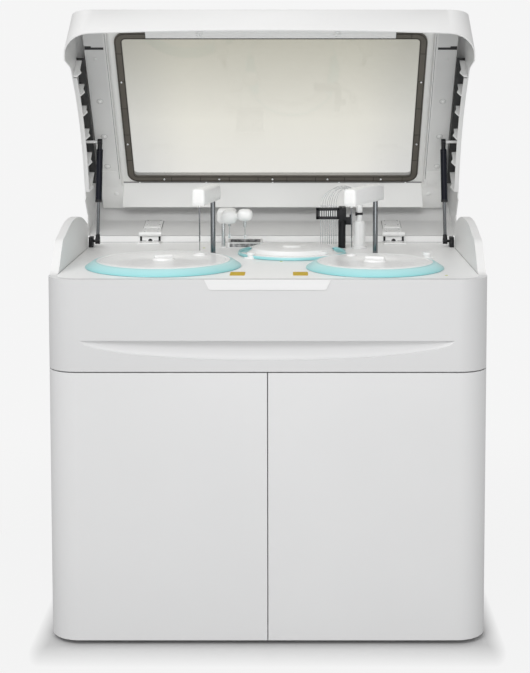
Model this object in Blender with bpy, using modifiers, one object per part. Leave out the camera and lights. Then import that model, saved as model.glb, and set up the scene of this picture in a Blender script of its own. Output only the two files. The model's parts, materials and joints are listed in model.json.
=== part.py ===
"""Floor-standing chemistry analyzer with a hinged hood, in metres.

X runs to the right, Z up and Y from the front face to the back. Every depth
below is measured behind the front face of the doors. One empty carries the
whole model, so that the origin lies on the floor under the middle of its box.
The hood is built closed and turned open about its hinge.
"""

import math

import bmesh
import bpy
from mathutils import Matrix, Vector

# Clearances
TOUCH = 0.0003
SHUT_LINE = 0.003
OVERRUN = 0.004
WELD = 0.00001

# Cabinet
WIDTH = 1.080
DEPTH = 0.785
CORNER = 0.075
SEAM_Z = 0.678
UPPER_HEIGHT = 0.227
DECK_Z = SEAM_Z + UPPER_HEIGHT
WALL = 0.020
SHEET = 0.0026
HALF = WIDTH / 2
INSIDE = HALF - WALL - TOUCH
BACK_INSIDE = DEPTH - SHEET - TOUCH
ROOM_SHARE = 0.688
ROOM = min(HALF, DEPTH * ROOM_SHARE)

# Base, feet and middle shelf
FOOT_HEIGHT = 0.022
FOOT_PAD_HEIGHT = 0.008
FOOT_EDGE_HEIGHT = 0.0048
FOOT_RADIUS = 0.024
FOOT_STEM_RADIUS = 0.008
FOOT_IN = 0.100
FOOT_FRONT_Y = 0.140
FOOT_REAR_IN = 0.085
FOOT_REAR_Y = DEPTH - FOOT_REAR_IN
PAN_HEIGHT = 0.020
PAN_TOP = FOOT_HEIGHT + TOUCH + PAN_HEIGHT
SHELF_HEIGHT = 0.010
SHELF_BOTTOM = SEAM_Z + SHUT_LINE / 2
SHELF_TOP = SHELF_BOTTOM + SHELF_HEIGHT

# Doors
DOOR_BOTTOM = 0.010
DOOR_TOP = SEAM_Z - SHUT_LINE / 2
DOOR_THICKNESS = 0.018
DOOR_SKIN = 0.003
DOOR_MEETING_GAP = 0.002
DOOR_TAIL_GAP = 0.005
DOOR_TAIL_BEFORE = 0.0015
DOOR_TAIL_Y = CORNER - DOOR_TAIL_BEFORE
SIDE_FRONT_Y = DOOR_TAIL_Y + DOOR_TAIL_GAP
DOOR_ROD_RADIUS = 0.004
DOOR_ROD_IN = 0.010
KNUCKLE_BACK = 0.0085
KNUCKLE_REACH = 0.0155
KNUCKLE_HEIGHT = 0.040
KNUCKLE_SHARES = (0.12, 0.88)
PIVOT_TURN = math.pi / 4
PIVOT_RADIUS = CORNER - DOOR_THICKNESS - DOOR_ROD_IN
PIVOT_X = HALF - CORNER + PIVOT_RADIUS * math.cos(PIVOT_TURN)
PIVOT_Y = CORNER - PIVOT_RADIUS * math.sin(PIVOT_TURN)
LUG_HALF = 0.006
LUG_LENGTH = 0.080
TAIL_SWEEP = 0.030

# Fascia
SCOOP_RISE = 0.0774
SCOOP_LIP_Z = SEAM_Z + SCOOP_RISE
SCOOP_IN = 0.085
SCOOP_HALF_WIDTH = HALF - SCOOP_IN
SCOOP_DEPTH = 0.0165
SCOOP_HEIGHT = 0.049
LIP_HALF_WIDTH = 0.153
LIP_HEIGHT = 0.025
LIP_PROUD = 0.0015
LIP_SLANT = 0.012
LIP_ROUND = 0.006

# Cheeks
CHEEK_FRONT_BEHIND = 0.023
CHEEK_FRONT_Y = CORNER + CHEEK_FRONT_BEHIND
CHEEK_SHOULDER_BEHIND = 0.074
CHEEK_SHOULDER_Y = CHEEK_FRONT_Y + CHEEK_SHOULDER_BEHIND
CHEEK_SHOULDER_HEIGHT = 0.075
CHEEK_SHOULDER_Z = DECK_Z + CHEEK_SHOULDER_HEIGHT
CHEEK_TOP_HEIGHT = 0.108
CHEEK_TOP_Z = DECK_Z + CHEEK_TOP_HEIGHT
CHEEK_CROWN_SHARES = (0.49045, 0.21783, 0.75032)
CHEEK_TOP_Y = DEPTH * CHEEK_CROWN_SHARES[0]
CHEEK_CROWN_HALF = DEPTH * CHEEK_CROWN_SHARES[1]
CHEEK_CROWN_RADIUS = DEPTH * CHEEK_CROWN_SHARES[2]
CHEEK_REAR_IN = 0.172
CHEEK_REAR_Y = DEPTH - CHEEK_REAR_IN
CHEEK_REAR_HEIGHT = 0.064
CHEEK_REAR_Z = DECK_Z + CHEEK_REAR_HEIGHT
CHEEK_FOOT_IN = 0.185
CHEEK_FOOT_Y = DEPTH - CHEEK_FOOT_IN
CHEEK_FOOT_ROUND = 0.020
CHEEK_SHOULDER_ROUND = 0.050
CHEEK_REAR_ROUND = 0.015

# Deck
DECK_THICKNESS = 0.012
UPSTAND_IN = 0.059
UPSTAND_Y = DEPTH - UPSTAND_IN
UPSTAND_THICKNESS = 0.004
UPSTAND_HEIGHT = 0.017

# Disk stations: places as shares of half the width and of the depth, cover radii as
# shares of whichever of the two is tighter, then what hangs below
SAMPLE_SHARES = (-0.50315, 0.29682, 0.37093)
REAGENT_SHARES = (0.50148, 0.25911, 0.32630)
REACTION_SHARES = (0.10926, 0.60510, 0.27593)
SAMPLE_X, SAMPLE_Y = HALF * SAMPLE_SHARES[0], DEPTH * SAMPLE_SHARES[1]
REAGENT_X, REAGENT_Y = HALF * REAGENT_SHARES[0], DEPTH * REAGENT_SHARES[1]
REACTION_X, REACTION_Y = HALF * REACTION_SHARES[0], DEPTH * REACTION_SHARES[1]
SAMPLE_RADIUS = ROOM * SAMPLE_SHARES[2]
REAGENT_RADIUS = ROOM * REAGENT_SHARES[2]
REACTION_RADIUS = ROOM * REACTION_SHARES[2]
COVER_HEIGHT = 0.018
COVER_WALL = 0.003
COVER_SKIRT = 0.027
COVER_OVERLAP = 0.014
HUB_RADIUS = 0.018
HUB_HEIGHT = 0.012
NEEDLE_HOLE = 0.008
REACTION_RIM_HEIGHT = 0.009
REACTION_CAP_HEIGHT = 0.020
REACTION_LEDGE = 0.037
REACTION_CAP_RADIUS = REACTION_RADIUS - REACTION_LEDGE
TUB_FLANGE = 0.0015
TUB_LIP = 0.005
TUB_WALL = 0.003
TUB_DEPTH_SHARES = (0.5286, 0.6167, 0.3965)
SAMPLE_DEPTH, REAGENT_DEPTH, REACTION_DEPTH = [UPPER_HEIGHT * share for share in TUB_DEPTH_SHARES]
HOUSING_RADIUS = 0.040
SPINDLE_RADIUS = 0.012
SPINDLE_END = 0.020
DISK_GAP = 0.010
DISK_DROP = 0.034
DISK_THICKNESS = 0.006
CUP_RADIUS = 0.007
CUP_EDGE = 0.012
CUP_ROW = 0.026
CUP_COUNTS = (28, 22)
BOTTLE_RADIUS = 0.013
BOTTLE_EDGE = 0.020
BOTTLE_ROW = 0.042
BOTTLE_COUNTS = (20, 14)
ROW_TWIST = math.radians(3)
CUVETTE_HALF = 0.0035
CUVETTE_EDGE = 0.012
CUVETTE_COUNT = 30
WINDOW_HALF = 0.0196
WINDOW_LENGTH = 0.045
LEFT_WINDOW_TURN = math.radians(157)
RIGHT_WINDOW_TURN = math.radians(38)

# Probes
MAST_RADIUS = 0.00685
MAST_FOOT_DEPTH = 0.115
MAST_FOOT_Z = DECK_Z - MAST_FOOT_DEPTH
ARM_RISE = 0.150
ARM_BOTTOM_Z = DECK_Z + ARM_RISE
ARM_HEIGHT = 0.043
ARM_WIDTH = 0.037
ARM_BEHIND = 0.024
ARM_AHEAD = 0.017
ARM_ROUND = 0.007
NEEDLE_RADIUS = 0.0014
SAMPLE_PROBE_SHARES = (-0.29074, 0.58599, -0.34, 0.39796)
SAMPLE_MAST_X, SAMPLE_MAST_Y = HALF * SAMPLE_PROBE_SHARES[0], DEPTH * SAMPLE_PROBE_SHARES[1]
SAMPLE_NEEDLE_X, SAMPLE_NEEDLE_Y = HALF * SAMPLE_PROBE_SHARES[2], DEPTH * SAMPLE_PROBE_SHARES[3]
SAMPLE_TIP_HEIGHT = 0.029
SAMPLE_TIP_Z = DECK_Z + SAMPLE_TIP_HEIGHT
REAGENT_PROBE_SHARES = (0.52963, 0.57834, 0.39815, 0.38726)
REAGENT_MAST_X, REAGENT_MAST_Y = HALF * REAGENT_PROBE_SHARES[0], DEPTH * REAGENT_PROBE_SHARES[1]
REAGENT_NEEDLE_X, REAGENT_NEEDLE_Y = HALF * REAGENT_PROBE_SHARES[2], DEPTH * REAGENT_PROBE_SHARES[3]
REAGENT_TIP_HEIGHT = 0.039
REAGENT_TIP_Z = DECK_Z + REAGENT_TIP_HEIGHT

# Mixer
MIXER_SHARES = (-0.25185, 0.77197)
MIXER_X, MIXER_Y = HALF * MIXER_SHARES[0], DEPTH * MIXER_SHARES[1]
MIXER_RADIUS = 0.0055
MIXER_RISE = 0.070
MIXER_BOTTOM_Z = DECK_Z + MIXER_RISE
MIXER_HEIGHT = 0.043
MIXER_STEP = 0.004
MIXER_ROUND = 0.005
PADDLE_TIP_HEIGHT = 0.035
PADDLE_TIP_Z = DECK_Z + PADDLE_TIP_HEIGHT
PADDLE_RADIUS = 0.0012
PADDLE_BLADE = 0.003
PADDLE_BLADE_HEIGHT = 0.010
PADDLE_RIGHT = 0.020
PADDLE_AHEAD = 0.056
PADDLE_SPREAD_X = 0.044
PADDLE_SPREAD_Y = 0.020
PADDLE_A_X, PADDLE_A_Y = MIXER_X + PADDLE_RIGHT, MIXER_Y - PADDLE_AHEAD
PADDLE_B_X, PADDLE_B_Y = PADDLE_A_X + PADDLE_SPREAD_X, PADDLE_A_Y - PADDLE_SPREAD_Y
MIXER_LOBE = 0.022
MIXER_SIDE = 0.0176

# Well in which the stirring paddles are washed, behind and right of their column
WELL_RIGHT_BY = 0.012
WELL_FRONT_BY = 0.006
WELL_WIDTH = 0.098
WELL_LENGTH = 0.080
WELL_LEFT = MIXER_X + WELL_RIGHT_BY
WELL_RIGHT = WELL_LEFT + WELL_WIDTH
WELL_FRONT = MIXER_Y - WELL_FRONT_BY
WELL_REAR = WELL_FRONT + WELL_LENGTH
WELL_HEIGHT = 0.015
WELL_WALL = 0.006
WELL_DEPTH = 0.010

# Wash station and tube column
POST_SHARES = (0.37037, 0.76433)
POST_X, POST_Y = HALF * POST_SHARES[0], DEPTH * POST_SHARES[1]
POST_RADIUS = 0.0105
POST_HEIGHT = 0.079
POST_TOP_Z = DECK_Z + POST_HEIGHT
WASH_ROD_RADIUS = 0.006
COMB_REACH = 0.074
COMB_WIDTH = 0.069
COMB_LEFT = POST_X - COMB_REACH
COMB_RIGHT = COMB_LEFT + COMB_WIDTH
COMB_AHEAD = 0.043
COMB_Y = POST_Y - COMB_AHEAD
COMB_HALF_DEPTH = 0.009
COMB_RISE = 0.0075
COMB_HEIGHT = 0.0315
COMB_BOTTOM_Z = POST_TOP_Z + COMB_RISE
COMB_TOP_Z = COMB_BOTTOM_Z + COMB_HEIGHT
WASH_ARM_HALF = 0.014
WASH_PROBE_COUNT = 8
WASH_PROBE_RADIUS = 0.0013
WASH_PROBE_IN = 0.013
WASH_PROBE_LEFT = COMB_LEFT + WASH_PROBE_IN
WASH_PROBE_RIGHT = COMB_RIGHT - WASH_PROBE_IN
WASH_PROBE_ABOVE = 0.020
WASH_PROBE_TOP_Z = COMB_TOP_Z + WASH_PROBE_ABOVE
WASH_PROBE_TIP_HEIGHT = 0.0156
WASH_PROBE_TIP_Z = DECK_Z + WASH_PROBE_TIP_HEIGHT
TUBE_COLUMN_RIGHT = 0.049
TUBE_COLUMN_AHEAD = 0.005
TUBE_COLUMN_X, TUBE_COLUMN_Y = POST_X + TUBE_COLUMN_RIGHT, POST_Y - TUBE_COLUMN_AHEAD
TUBE_COLUMN_RADIUS = 0.016
TUBE_COLUMN_HEIGHT = 0.078
TUBE_COLUMN_TOP_Z = DECK_Z + TUBE_COLUMN_HEIGHT
TUBE_COLUMN_ROUND = 0.005

# Hood, with its hinge and how far it stands open
HINGE_IN = 0.065
HINGE_RISE = 0.025
HINGE_Y = DEPTH - HINGE_IN
HINGE_Z = DECK_Z + HINGE_RISE
OPEN_ANGLE = math.radians(55.7)
HOOD_RIM_GAP = 0.002
HOOD_WALL = 0.003
HOOD_BOW = 0.012
HOOD_BOW_SHARES = (-0.8, -0.6, -0.4, -0.2, 0, 0.2, 0.4, 0.6, 0.8)
HOOD_EDGE_ROUND = 0.050
HOOD_BROW_HEIGHT = 0.106
HOOD_BROW_Z = DECK_Z + HOOD_BROW_HEIGHT
HOOD_BROW_ROUND = 0.060
HOOD_CREST_Y = 0.103
HOOD_CREST_ROUND = 0.050
HOOD_REAR_ROUND = 0.060
HOOD_HEEL_HEIGHT = 0.155
HOOD_HEEL_Z = DECK_Z + HOOD_HEEL_HEIGHT
HOOD_HEEL_ROUND = 0.040
HOOD_FOOT_IN = 0.051
HOOD_FOOT_HEIGHT = 0.032
HOOD_FOOT_Y = DEPTH - HOOD_FOOT_IN
HOOD_FOOT_Z = DECK_Z + HOOD_FOOT_HEIGHT
HOOD_PASS_IN = (0.169, 0.100, 0.063)
HOOD_PASS_HEIGHTS = (0.057, 0.0695, 0.032)
HOOD_BELOW = 0.080

# Hood liner, measured along and across the pane, which slopes up to the back
PANE_TILT = math.radians(2.8)
PANE_Y = 0.150
PANE_HEIGHT = 0.200
PANE_Z = DECK_Z + PANE_HEIGHT
SKIN_OVER_PANE = 0.022
LINER_WALL = 0.003
LINER_FRONT = -0.038
LINER_REAR_IN = 0.094
LINER_REAR = DEPTH - PANE_Y - LINER_REAR_IN
LINER_IN = 0.0855
LINER_HALF = HALF - LINER_IN
RAIL_IN = 0.026
RAIL_HALF = HALF - RAIL_IN
RAIL_DROP = 0.030
LINER_HEEL_IN = 0.041
LINER_HEEL_HEIGHT = 0.175
LINER_HEEL_Y = DEPTH - LINER_HEEL_IN
LINER_HEEL_Z = DECK_Z + LINER_HEEL_HEIGHT
GASKET_SIDE_MARGIN = 0.0205
GASKET_REAR_MARGIN = 0.009
GASKET_HALF = LINER_HALF - GASKET_SIDE_MARGIN
GASKET_FRONT = -0.016
GASKET_REAR = LINER_REAR - GASKET_REAR_MARGIN
GASKET_BAND = 0.021
GASKET_ROUND = 0.032
GASKET_HEIGHT = 0.006
GASKET_GRIP = 0.007
PANE_THICKNESS = 0.004
WELL_WALL_HOOD = 0.003
LAMP_IN = 0.122
LAMP_HALF = GASKET_HALF - LAMP_IN
LAMP_ROUND = 0.002
LAMP_FRONT = -0.036
LAMP_REAR = -0.0175
LAMP_HEIGHT = 0.012

# Hinges
HINGE_SIDE_IN = 0.185
HINGE_X = HALF - HINGE_SIDE_IN
LEAF_WIDTH = 0.055
LEAF_LENGTH = 0.050
LEAF_THICKNESS = 0.004
KNUCKLE_RADIUS = 0.007
PIN_RADIUS = 0.003
HINGE_BASE_WIDTH = 0.065
HINGE_FOOT_LENGTH = 0.050
HINGE_PLATE = 0.004

# Gas struts
STRUT_IN = 0.0455
STRUT_X = HALF - STRUT_IN
STRUT_LOW_IN, STRUT_LOW_HEIGHT = 0.165, 0.017
STRUT_TOP_IN, STRUT_TOP_HEIGHT = 0.306, 0.152
STRUT_LOW_Y, STRUT_LOW_Z = DEPTH - STRUT_LOW_IN, DECK_Z + STRUT_LOW_HEIGHT
STRUT_TOP_Y, STRUT_TOP_Z = DEPTH - STRUT_TOP_IN, DECK_Z + STRUT_TOP_HEIGHT
STRUT_TUBE_RADIUS = 0.0093
STRUT_ROD_RADIUS = 0.00475
STRUT_TUBE_START = 0.023
STRUT_TUBE_LENGTH = 0.151
EYE_RADIUS = 0.0075
EYE_HALF = 0.0055
STUD_RADIUS = 0.004
BRACKET_INNER_IN, BRACKET_OUTER_IN = 0.0335, 0.0215
BRACKET_LEFT, BRACKET_RIGHT = HALF - BRACKET_INNER_IN, HALF - BRACKET_OUTER_IN
BRACKET_HALF = 0.015
BRACKET_HEIGHT = 0.029
BRACKET_TOP_Z = DECK_Z + BRACKET_HEIGHT

# Inside the cabinet: left, front, right and back of each box as shares of half the width
# and of the depth, and its height as a share of the seam's height or of the upper part's
SUPPLY_SHARES = (-0.889, 0.688, -0.370, 0.945, 0.265)
COOLER_SHARES = (0.222, 0.611, 0.889, 0.962, 0.442)
PUMP_SHARES = (-0.222, 0.662, 0.111, 0.955, 0.354)
WATER_SHARES = (-0.704, 0.191, -0.296, 0.561, 0.487)
WASTE_SHARES = (0.296, 0.191, 0.704, 0.548, 0.487)
METER_SHARES = (0.417, 0.815, 0.667, 0.955, 0.485)
BOX_ROUND = 0.010
CAP_RADIUS = 0.030
CAP_HEIGHT = 0.018
FIN_COUNT = 8
FIN_START_SHARE = 0.25
FIN_DEPTH = 0.012
SYRINGE_COUNT = 3
SYRINGE_RADIUS = 0.012
SYRINGE_OUT = 0.014
LENS_RADIUS = 0.016
LENS_LENGTH = 0.020

# Power inlet and switch, in the rear panel
INLET_SHARE = -0.62963
INLET_X = HALF * INLET_SHARE
INLET_Z = 0.140
INLET_HALF_WIDTH = 0.034
INLET_HALF_HEIGHT = 0.034
INLET_PLATE = 0.003
INLET_FLANGE = 0.006
INLET_DEPTH = 0.032
INLET_WALL = 0.004
SOCKET_HALF_WIDTH = 0.012
SOCKET_HALF_HEIGHT = 0.008
SOCKET_DEPTH = 0.018
SOCKET_DROP = 0.015
ROCKER_HALF_WIDTH = 0.014
ROCKER_HALF_HEIGHT = 0.009
ROCKER_RISE = 0.014
ROCKER_PROUD = 0.003
ROCKER_DEPTH = 0.010
ROCKER_GAP = 0.003
ROCKER_TILT = math.radians(9)
SLOT_COUNT = 9
SLOT_HALF_WIDTH = 0.090
SLOT_HALF_HEIGHT = 0.003
SLOT_PITCH = 0.014
SLOT_SHARE = 0.55556
SLOT_X = HALF * SLOT_SHARE
SLOT_Z = 0.200

# Facets
ARC_STEPS = 6
ROUND_SIDES = 40
TUB_SIDES = 36
ROD_SIDES = 14
NEEDLE_SIDES = 8
CUP_SIDES = 6

# Which way local X, Y and Z of an outline point when it is extruded along each axis
TURNS = {
    "X": Matrix(((0, 0, 1), (1, 0, 0), (0, 1, 0))).to_4x4(),
    "Y": Matrix(((1, 0, 0), (0, 0, -1), (0, 1, 0))).to_4x4(),
    "Z": Matrix.Identity(4),
}

# Finishes: colour, roughness and metallic value
FINISHES = {
    "white_cover": ((0.83, 0.83, 0.82), 0.45, 0.0),
    "bright_cover": ((0.90, 0.90, 0.90), 0.40, 0.0),
    "grey_door": ((0.74, 0.75, 0.75), 0.45, 0.0),
    "liner": ((0.66, 0.66, 0.63), 0.50, 0.0),
    "gasket": ((0.09, 0.08, 0.07), 0.60, 0.0),
    "glass": ((0.80, 0.79, 0.72), 0.10, 0.0),
    "steel": ((0.60, 0.61, 0.62), 0.30, 1.0),
    "dark_steel": ((0.10, 0.10, 0.11), 0.35, 0.8),
    "black_plastic": ((0.03, 0.03, 0.035), 0.45, 0.0),
    "zinc": ((0.55, 0.56, 0.57), 0.45, 1.0),
    "rubber": ((0.05, 0.05, 0.05), 0.80, 0.0),
    "tank": ((0.80, 0.84, 0.86), 0.35, 0.0),
    "aluminium": ((0.72, 0.73, 0.74), 0.40, 1.0),
}


def clear_scene():
    for old in list(bpy.data.objects):
        bpy.data.objects.remove(old, do_unlink=True)


def new_collection(name):
    made = bpy.data.collections.new(name)
    bpy.context.scene.collection.children.link(made)
    return made


def finish(obj, kind):
    """Gives the object a material of its own, with the named finish."""
    colour, roughness, metallic = FINISHES[kind]
    material = bpy.data.materials.new(obj.name + "_finish")
    material.use_nodes = True
    shader = material.node_tree.nodes["Principled BSDF"]
    shader.inputs["Base Color"].default_value = (*colour, 1)
    shader.inputs["Roughness"].default_value = roughness
    shader.inputs["Metallic"].default_value = metallic
    material.diffuse_color = (*colour, 1)
    obj.data.materials.clear()
    obj.data.materials.append(material)
    return obj


def new_empty(name, place, parent=None, turn=0.0):
    empty = bpy.data.objects.new(name, None)
    parts.objects.link(empty)
    empty.location = place
    empty.rotation_euler = (turn, 0, 0)
    empty.parent = parent
    return empty


def add_mesh(name, shape):
    """Makes an object of a bmesh, with its faces pointing out."""
    bmesh.ops.recalc_face_normals(shape, faces=shape.faces)
    if shape.calc_volume(signed=True) < 0:
        bmesh.ops.reverse_faces(shape, faces=shape.faces)
    mesh = bpy.data.meshes.new(name)
    shape.to_mesh(mesh)
    shape.free()
    obj = bpy.data.objects.new(name, mesh)
    parts.objects.link(obj)
    return obj


def extruded(name, loops, low, high, across="Z"):
    """A flat outline, with any holes, extruded from low to high along one axis."""
    curve = bpy.data.curves.new(name, "CURVE")
    curve.dimensions = "2D"
    curve.fill_mode = "BOTH"
    curve.extrude = (high - low) / 2
    for loop in loops:
        spline = curve.splines.new("POLY")
        spline.points.add(len(loop) - 1)
        spline.use_cyclic_u = True
        for point, (a, b) in zip(spline.points, loop):
            point.co = (a, b, 0, 1)
    guide = bpy.data.objects.new(name + "_outline", curve)
    parts.objects.link(guide)
    graph = bpy.context.evaluated_depsgraph_get()
    flat = bpy.data.meshes.new_from_object(guide.evaluated_get(graph))
    bpy.data.objects.remove(guide, do_unlink=True)
    shape = bmesh.new()
    shape.from_mesh(flat)
    bpy.data.meshes.remove(flat)
    middle = (low + high) / 2
    if across == "Y":
        middle = -middle
    shape.transform(TURNS[across] @ Matrix.Translation((0, 0, middle)))
    bmesh.ops.remove_doubles(shape, verts=shape.verts, dist=WELD)
    return add_mesh(name, shape)


def block(name, low, high, rounding=0.0, segments=2):
    """A box between two corners, with an optional bevel."""
    low, high = Vector(low), Vector(high)
    shape = bmesh.new()
    bmesh.ops.create_cube(shape, size=1)
    size = high - low
    shape.transform(Matrix.Translation((low + high) / 2) @ Matrix.Diagonal((*size, 1)))
    obj = add_mesh(name, shape)
    if rounding:
        bevel = obj.modifiers.new("rounding", "BEVEL")
        bevel.width = rounding
        bevel.segments = segments
        bevel.limit_method = "ANGLE"
    return obj


def rod(name, start, end, radius, sides=ROD_SIDES, end_radius=None):
    """A round bar, or a cone, between two points."""
    start, end = Vector(start), Vector(end)
    along = end - start
    shape = bmesh.new()
    bmesh.ops.create_cone(
        shape, cap_ends=True, cap_tris=False, segments=sides, radius1=radius,
        radius2=radius if end_radius is None else end_radius, depth=along.length,
    )
    turn = along.to_track_quat("Z", "Y").to_matrix().to_4x4()
    shape.transform(Matrix.Translation((start + end) / 2) @ turn)
    return smooth(add_mesh(name, shape))


def turned(name, profile, place, sides=ROUND_SIDES, closed=True):
    """A profile of radius and height, run down its outer side, turned about Z."""
    shape = bmesh.new()
    corners = [shape.verts.new((radius, 0, height)) for radius, height in profile]
    for first, second in zip(corners, corners[1:]):
        shape.edges.new((first, second))
    if closed:
        shape.edges.new((corners[-1], corners[0]))
    mesh = bpy.data.meshes.new(name)
    shape.to_mesh(mesh)
    shape.free()
    obj = bpy.data.objects.new(name, mesh)
    parts.objects.link(obj)
    obj.location = place
    screw = obj.modifiers.new("turning", "SCREW")
    screw.steps = sides
    screw.render_steps = sides
    screw.use_merge_vertices = True
    screw.merge_threshold = WELD
    screw.use_smooth_shade = True
    return obj


def smooth(obj):
    obj.data.shade_smooth()
    obj.data.set_sharp_from_angle(angle=math.radians(35))
    return obj


def combine(obj, operation, others):
    """Joins or cuts the object with others, which become hidden helpers."""
    for other in others:
        parts.objects.unlink(other)
        cutters.objects.link(other)
        other.hide_render = True
        other.display_type = "WIRE"
        change = obj.modifiers.new(other.name, "BOOLEAN")
        change.operation = operation
        change.solver = "EXACT"
        change.object = other
    return obj


def fused(obj, *others):
    return combine(obj, "UNION", others)


def cut(obj, *others):
    return combine(obj, "DIFFERENCE", others)


def kept_inside(obj, *others):
    return combine(obj, "INTERSECT", others)


def helpers_of(obj):
    """The object and every hidden helper that shapes it."""
    found = [obj]
    for change in obj.modifiers:
        if change.type == "BOOLEAN":
            found += helpers_of(change.object)
    return found


def carry(empty, *objects, built_at=(0, 0, 0)):
    """Hangs objects on an empty; built_at is where the empty was while they were modelled."""
    for obj in objects:
        for piece in helpers_of(obj):
            piece.parent = empty
            piece.matrix_parent_inverse = Matrix.Translation(-Vector(built_at))


def circle(x, y, radius, sides):
    turns = [2 * math.pi * step / sides for step in range(sides)]
    return [(x + radius * math.cos(turn), y + radius * math.sin(turn)) for turn in turns]


def rounded(corners, steps=ARC_STEPS):
    """A closed outline whose corners (a, b, radius) are replaced by arcs."""
    points = []
    for index, (a, b, radius) in enumerate(corners):
        here = Vector((a, b))
        if not radius:
            points.append((a, b))
            continue
        before = (Vector(corners[index - 1][:2]) - here).normalized()
        after = (Vector(corners[(index + 1) % len(corners)][:2]) - here).normalized()
        half_turn = before.angle(after) / 2
        middle = here + (before + after).normalized() * radius / math.sin(half_turn)
        start = here + before * radius / math.tan(half_turn) - middle
        end = here + after * radius / math.tan(half_turn) - middle
        swing = start.angle_signed(end)
        for step in range(steps + 1):
            share = swing * step / steps
            cosine, sine = math.cos(share), math.sin(share)
            points.append((
                middle.x + start.x * cosine + start.y * sine,
                middle.y - start.x * sine + start.y * cosine,
            ))
    return points


def inset(corners, distance):
    """Corners of a counter-clockwise outline moved in by a distance, with their arcs."""
    moved = []
    for index, (a, b, radius) in enumerate(corners):
        here = Vector((a, b))
        before = (here - Vector(corners[index - 1][:2])).normalized()
        after = (Vector(corners[(index + 1) % len(corners)][:2]) - here).normalized()
        inward = Vector((-before.y - after.y, before.x + after.x)).normalized()
        reach = distance / inward.dot(Vector((-before.y, before.x)))
        place = here + inward * reach
        moved.append((place.x, place.y, max(radius - distance, 0)))
    return moved


def rectangle(left, low, right, high, radius=0.0):
    return [(left, low, radius), (right, low, radius), (right, high, radius), (left, high, radius)]


def front_wrap(inward, tail):
    """The plan of the front face and its two round corners, from left tail to right."""
    radius = CORNER - inward
    middle = HALF - CORNER
    short = max(CORNER - tail, 0)
    side = middle + math.sqrt(radius * radius - short * short)
    points = [(side, tail)]
    for step in range(ARC_STEPS + 1):
        turn = math.pi / 2 * step / ARC_STEPS
        y = CORNER - radius * math.sin(turn)
        if y < min(tail, CORNER) - WELD:
            points.append((middle + radius * math.cos(turn), y))
    return [(-x, y) for x, y in points] + list(reversed(points))


def inner_plan(back):
    """The plan of a plate that fills the cabinet inside its upper walls."""
    return front_wrap(WALL + TOUCH, CORNER + OVERRUN) + [(INSIDE, back), (-INSIDE, back)]


def mirrored(loop):
    return [(-x, y) for x, y in reversed(loop)]


def both_sides(maker):
    """Runs a maker for the left side, -1, and the right side, 1."""
    return [maker("left", -1), maker("right", 1)]


# Base and cabinet


def make_foot(name, x, y):
    top = FOOT_HEIGHT
    profile = [
        (0, top), (FOOT_STEM_RADIUS, top), (FOOT_STEM_RADIUS, FOOT_PAD_HEIGHT),
        (FOOT_RADIUS, FOOT_EDGE_HEIGHT), (FOOT_RADIUS, 0), (0, 0),
    ]
    foot = turned(name, profile, (x, y, 0), ROD_SIDES, closed=False)
    return finish(foot, "rubber")


def make_feet():
    x = HALF - FOOT_IN
    feet = []
    for place, y in (("front", FOOT_FRONT_Y), ("rear", FOOT_REAR_Y)):
        feet.append(make_foot(f"foot_{place}_left", -x, y))
        feet.append(make_foot(f"foot_{place}_right", x, y))
    return feet


def make_base_pan():
    """A plate cut back at its front corners, where the tails of the doors swing."""
    front = PIVOT_Y - LUG_HALF
    lug_end = PIVOT_X + LUG_HALF
    lug_start = PIVOT_X - LUG_LENGTH
    shoulder = PIVOT_Y + PIVOT_X - HALF + CORNER + TAIL_SWEEP
    side = HALF - SHEET - TOUCH
    right = [
        (lug_end, front), (lug_end, PIVOT_Y + LUG_HALF), (lug_start, PIVOT_Y + LUG_HALF),
        (lug_start, shoulder), (side, shoulder), (side, BACK_INSIDE),
    ]
    outline = right + mirrored(right)
    holes = [
        circle(sign * PIVOT_X, PIVOT_Y, DOOR_ROD_RADIUS + TOUCH, ROD_SIDES) for sign in (-1, 1)
    ]
    pan = extruded("base_pan", [outline] + holes, FOOT_HEIGHT + TOUCH, PAN_TOP)
    return finish(pan, "zinc")


def make_shelf():
    holes = [
        circle(sign * PIVOT_X, PIVOT_Y, DOOR_ROD_RADIUS + TOUCH, ROD_SIDES) for sign in (-1, 1)
    ]
    shelf = extruded("mid_shelf", [inner_plan(BACK_INSIDE)] + holes, SHELF_BOTTOM, SHELF_TOP)
    return finish(shelf, "zinc")


def make_side_panel(side, sign):
    """The lower side sheet, with a flange folded in at the back."""
    outline = [
        (HALF - SHEET, SIDE_FRONT_Y), (HALF, SIDE_FRONT_Y), (HALF, DEPTH),
        (HALF - WALL, DEPTH), (HALF - WALL, DEPTH - SHEET), (HALF - SHEET, DEPTH - SHEET),
    ]
    if sign < 0:
        outline = mirrored(outline)
    panel = extruded(f"side_panel_{side}", [outline], DOOR_BOTTOM, DOOR_TOP)
    return finish(panel, "grey_door")


def crown(clear):
    """Points along the top of a cheek, front to back, raised by a clearance."""
    centre_z = CHEEK_TOP_Z - CHEEK_CROWN_RADIUS
    swing = math.asin(CHEEK_CROWN_HALF / CHEEK_CROWN_RADIUS)
    radius = CHEEK_CROWN_RADIUS + clear
    points = []
    for step in range(ARC_STEPS + 1):
        turn = swing * (2 * step / ARC_STEPS - 1)
        points.append((CHEEK_TOP_Y + radius * math.sin(turn), centre_z + radius * math.cos(turn), 0))
    return points


def cheek_line(clear):
    """Corners of the cheek from its front foot over the crown to its back foot."""
    front = (CHEEK_FRONT_Y - clear, DECK_Z + clear, CHEEK_FOOT_ROUND)
    shoulder = (CHEEK_SHOULDER_Y - clear / 2, CHEEK_SHOULDER_Z + clear / 2, CHEEK_SHOULDER_ROUND)
    rear = (CHEEK_REAR_Y + clear, CHEEK_REAR_Z + clear, CHEEK_REAR_ROUND)
    return [front, shoulder] + crown(clear) + [rear]


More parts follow.
